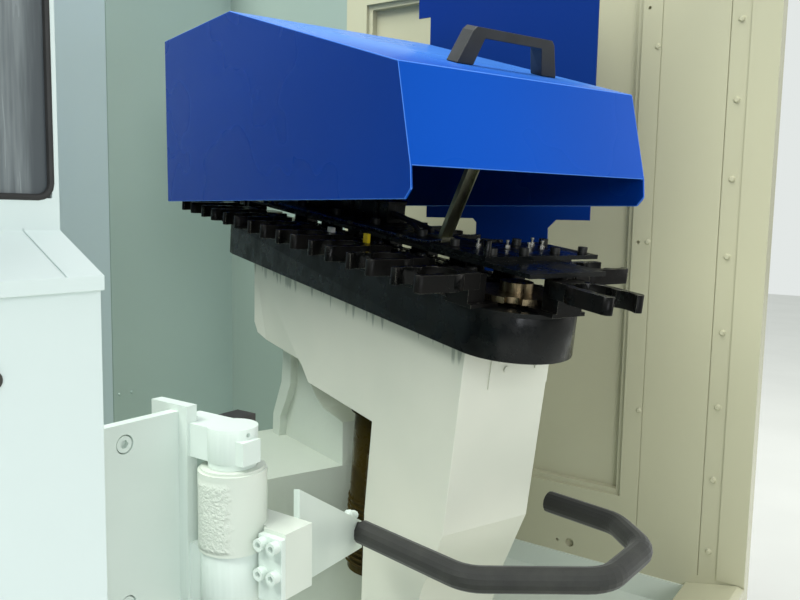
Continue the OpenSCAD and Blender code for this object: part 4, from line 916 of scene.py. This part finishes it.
motor_axis = (on_motor(0, 0, 1) - on_motor(0, 0, 0)).normalized()
piece("motor_cooling_ribs", "frame", MOTOR, [
    ring(on_motor(0, 0, -190 - 11 * k), motor_axis, 53, 2.0, 40) for k in range(12)], 0)
lid, lid_faces = slab((-48, -85, -168), (28, -81.5, -92))
piece("terminal_box_lid", "frame", MOTOR, [
    ([tuple(on_motor(*v)) for v in lid], lid_faces)], 1.0)
motor_screws = []
for x in (-43, 23):
    for z in (-163, -97):
        at = on_motor(x, -85, z)
        motor_screws += screw(at, on_motor(x, -86, z) - at, 6, 2)
for k in range(4):
    turn = math.radians(45 + 90 * k)
    at = on_motor(50.4 * math.cos(turn), 50.4 * math.sin(turn), -24)
    motor_screws += screw(at, -motor_axis, 9, 5)
piece("motor_screws", "frame", GROUND, motor_screws, 0)
gland = on_motor(-10, -56, -170)
floor_point = Vector((gland.x + 10, gland.y - 8, BAY_FLOOR + 1))
drop = [gland, gland - motor_axis * 26]
drop += [drop[1].lerp(floor_point, t) + Vector((6 * math.sin(t * 5), 4 * math.sin(t * 4), 0))
         for t in (0.12, 0.25, 0.4, 0.55, 0.7, 0.85)]
drop += [Vector((floor_point.x - 6, floor_point.y - 2, 500)), floor_point]
piece("motor_conduit", "frame", SWITCH, [tube(drop, 7.5, 14)], 0)
piece("motor_glands", "frame", BRIGHT, [
    tube([gland, gland - motor_axis * 18], 12, 6),
    tube([floor_point, floor_point + Vector((0, 0, 16))], 14, 6)], 0.6)


# Floor, lamps and camera
def plane(name, centre, size, mat):
    """A level square."""
    half = size / 2
    mesh = bpy.data.meshes.new(name)
    mesh.from_pydata([(centre[0] - half, centre[1] - half, centre[2]),
                      (centre[0] + half, centre[1] - half, centre[2]),
                      (centre[0] + half, centre[1] + half, centre[2]),
                      (centre[0] - half, centre[1] + half, centre[2])], [], [(0, 1, 2, 3)])
    mesh.materials.append(mat)
    obj = bpy.data.objects.new(name, mesh)
    bpy.context.collection.objects.link(obj)
    return obj


def workshop_floor():
    """Pale sealed concrete: flat light grey with a dull sheen."""
    mat = start("sealed_concrete")
    at = put(mat, "TexCoord").outputs["Object"]
    base = mix(mat, ramp(mat, noise(mat, 600, at), 0.3, 0.7), colour("#dfe0dc"), colour("#dbdcd8"))
    shader = put(mat, "BsdfPrincipled", {"Base Color": base, "Roughness": 0.55})
    return finish_off(mat, shader)


floor = plane("workshop_floor", (0, 0, -0.001), 30, workshop_floor())

world = bpy.data.worlds.new("studio")
bpy.context.scene.world = world
world.use_nodes = True
world.node_tree.nodes.clear()
path = put(world, "LightPath")
upward = put(world, "SeparateXYZ", {0: put(world, "TexCoord").outputs["Generated"]}).outputs["Z"]
# a bright ceiling over a dimmer workshop; straight views see a plain pale backdrop
room = ramp(world, upward, -0.15, 0.55, 0.38, 0.93)
backdrop = math_node(world, "MULTIPLY", path.outputs["Is Camera Ray"], 0.95)
strength = math_node(world, "MAXIMUM", room, backdrop)
sky = put(world, "Background", {"Color": colour("#e8edeb"), "Strength": strength})
put(world, "OutputWorld", {"Surface": sky.outputs[0]})


def lamp(name, place, target, size, power, tint="#ffffff"):
    """A square soft box of size metres that shines from place to target."""
    light = bpy.data.lights.new(name, "AREA")
    light.shape = "SQUARE"
    light.size = size
    light.energy = power
    light.color = colour(tint)[:3]
    obj = bpy.data.objects.new(name, light)
    obj.location = place
    obj.rotation_euler = (Vector(target) - Vector(place)).to_track_quat("-Z", "Y").to_euler()
    bpy.context.collection.objects.link(obj)


lamp("key_from_front_left", (-2.2, -3.6, 2.4), (0.7, -0.4, 1.2), 1.6, 54, "#f6faff")
lamp("overhead", (0.1, -0.7, 7.4), (0.5, -0.3, 0.8), 4.9, 172)
lamp("ceiling_over_work_area", (-2.4, 0.5, 6.0), (0.6, -0.3, 1.0), 3.2, 370, "#fbfff8")
lamp("fill_from_right", (4.0, -4.0, 2.5), (0.3, -0.3, 1.0), 2.5, 25, "#fff8ee")
lamp("fill_from_back", (0.0, 5.0, 3.0), (0.0, 0.0, 1.0), 3.0, 60)

# The photograph's view: eye height 1.3 m, in front of the machine and left of the bay
CAMERA_AT = Vector((-0.400, -1.240, 1.300))
HEADING = math.radians(55.2)
DOWN = math.radians(6.2)
ROLL = math.radians(1.06)
FOCAL_PX = 788
IMAGE_WIDTH = 800
SENSOR_MM = 36.0

camera = bpy.data.cameras.new("view")
camera.sensor_width = SENSOR_MM
camera.lens = FOCAL_PX / IMAGE_WIDTH * SENSOR_MM
eye = bpy.data.objects.new("view", camera)
bpy.context.collection.objects.link(eye)
forward = Vector((math.sin(HEADING) * math.cos(DOWN), math.cos(HEADING) * math.cos(DOWN),
                  -math.sin(DOWN)))
level = forward.cross(Vector((0, 0, 1))).normalized()
upright = level.cross(forward)
across = level * math.cos(ROLL) + upright * math.sin(ROLL)
up = upright * math.cos(ROLL) - level * math.sin(ROLL)
eye.matrix_world = Matrix.Translation(CAMERA_AT) @ Matrix(
    (across, up, -forward)).transposed().to_4x4()
camera.clip_start = 0.02
bpy.context.scene.camera = eye
bpy.context.scene.view_settings.view_transform = "Standard"
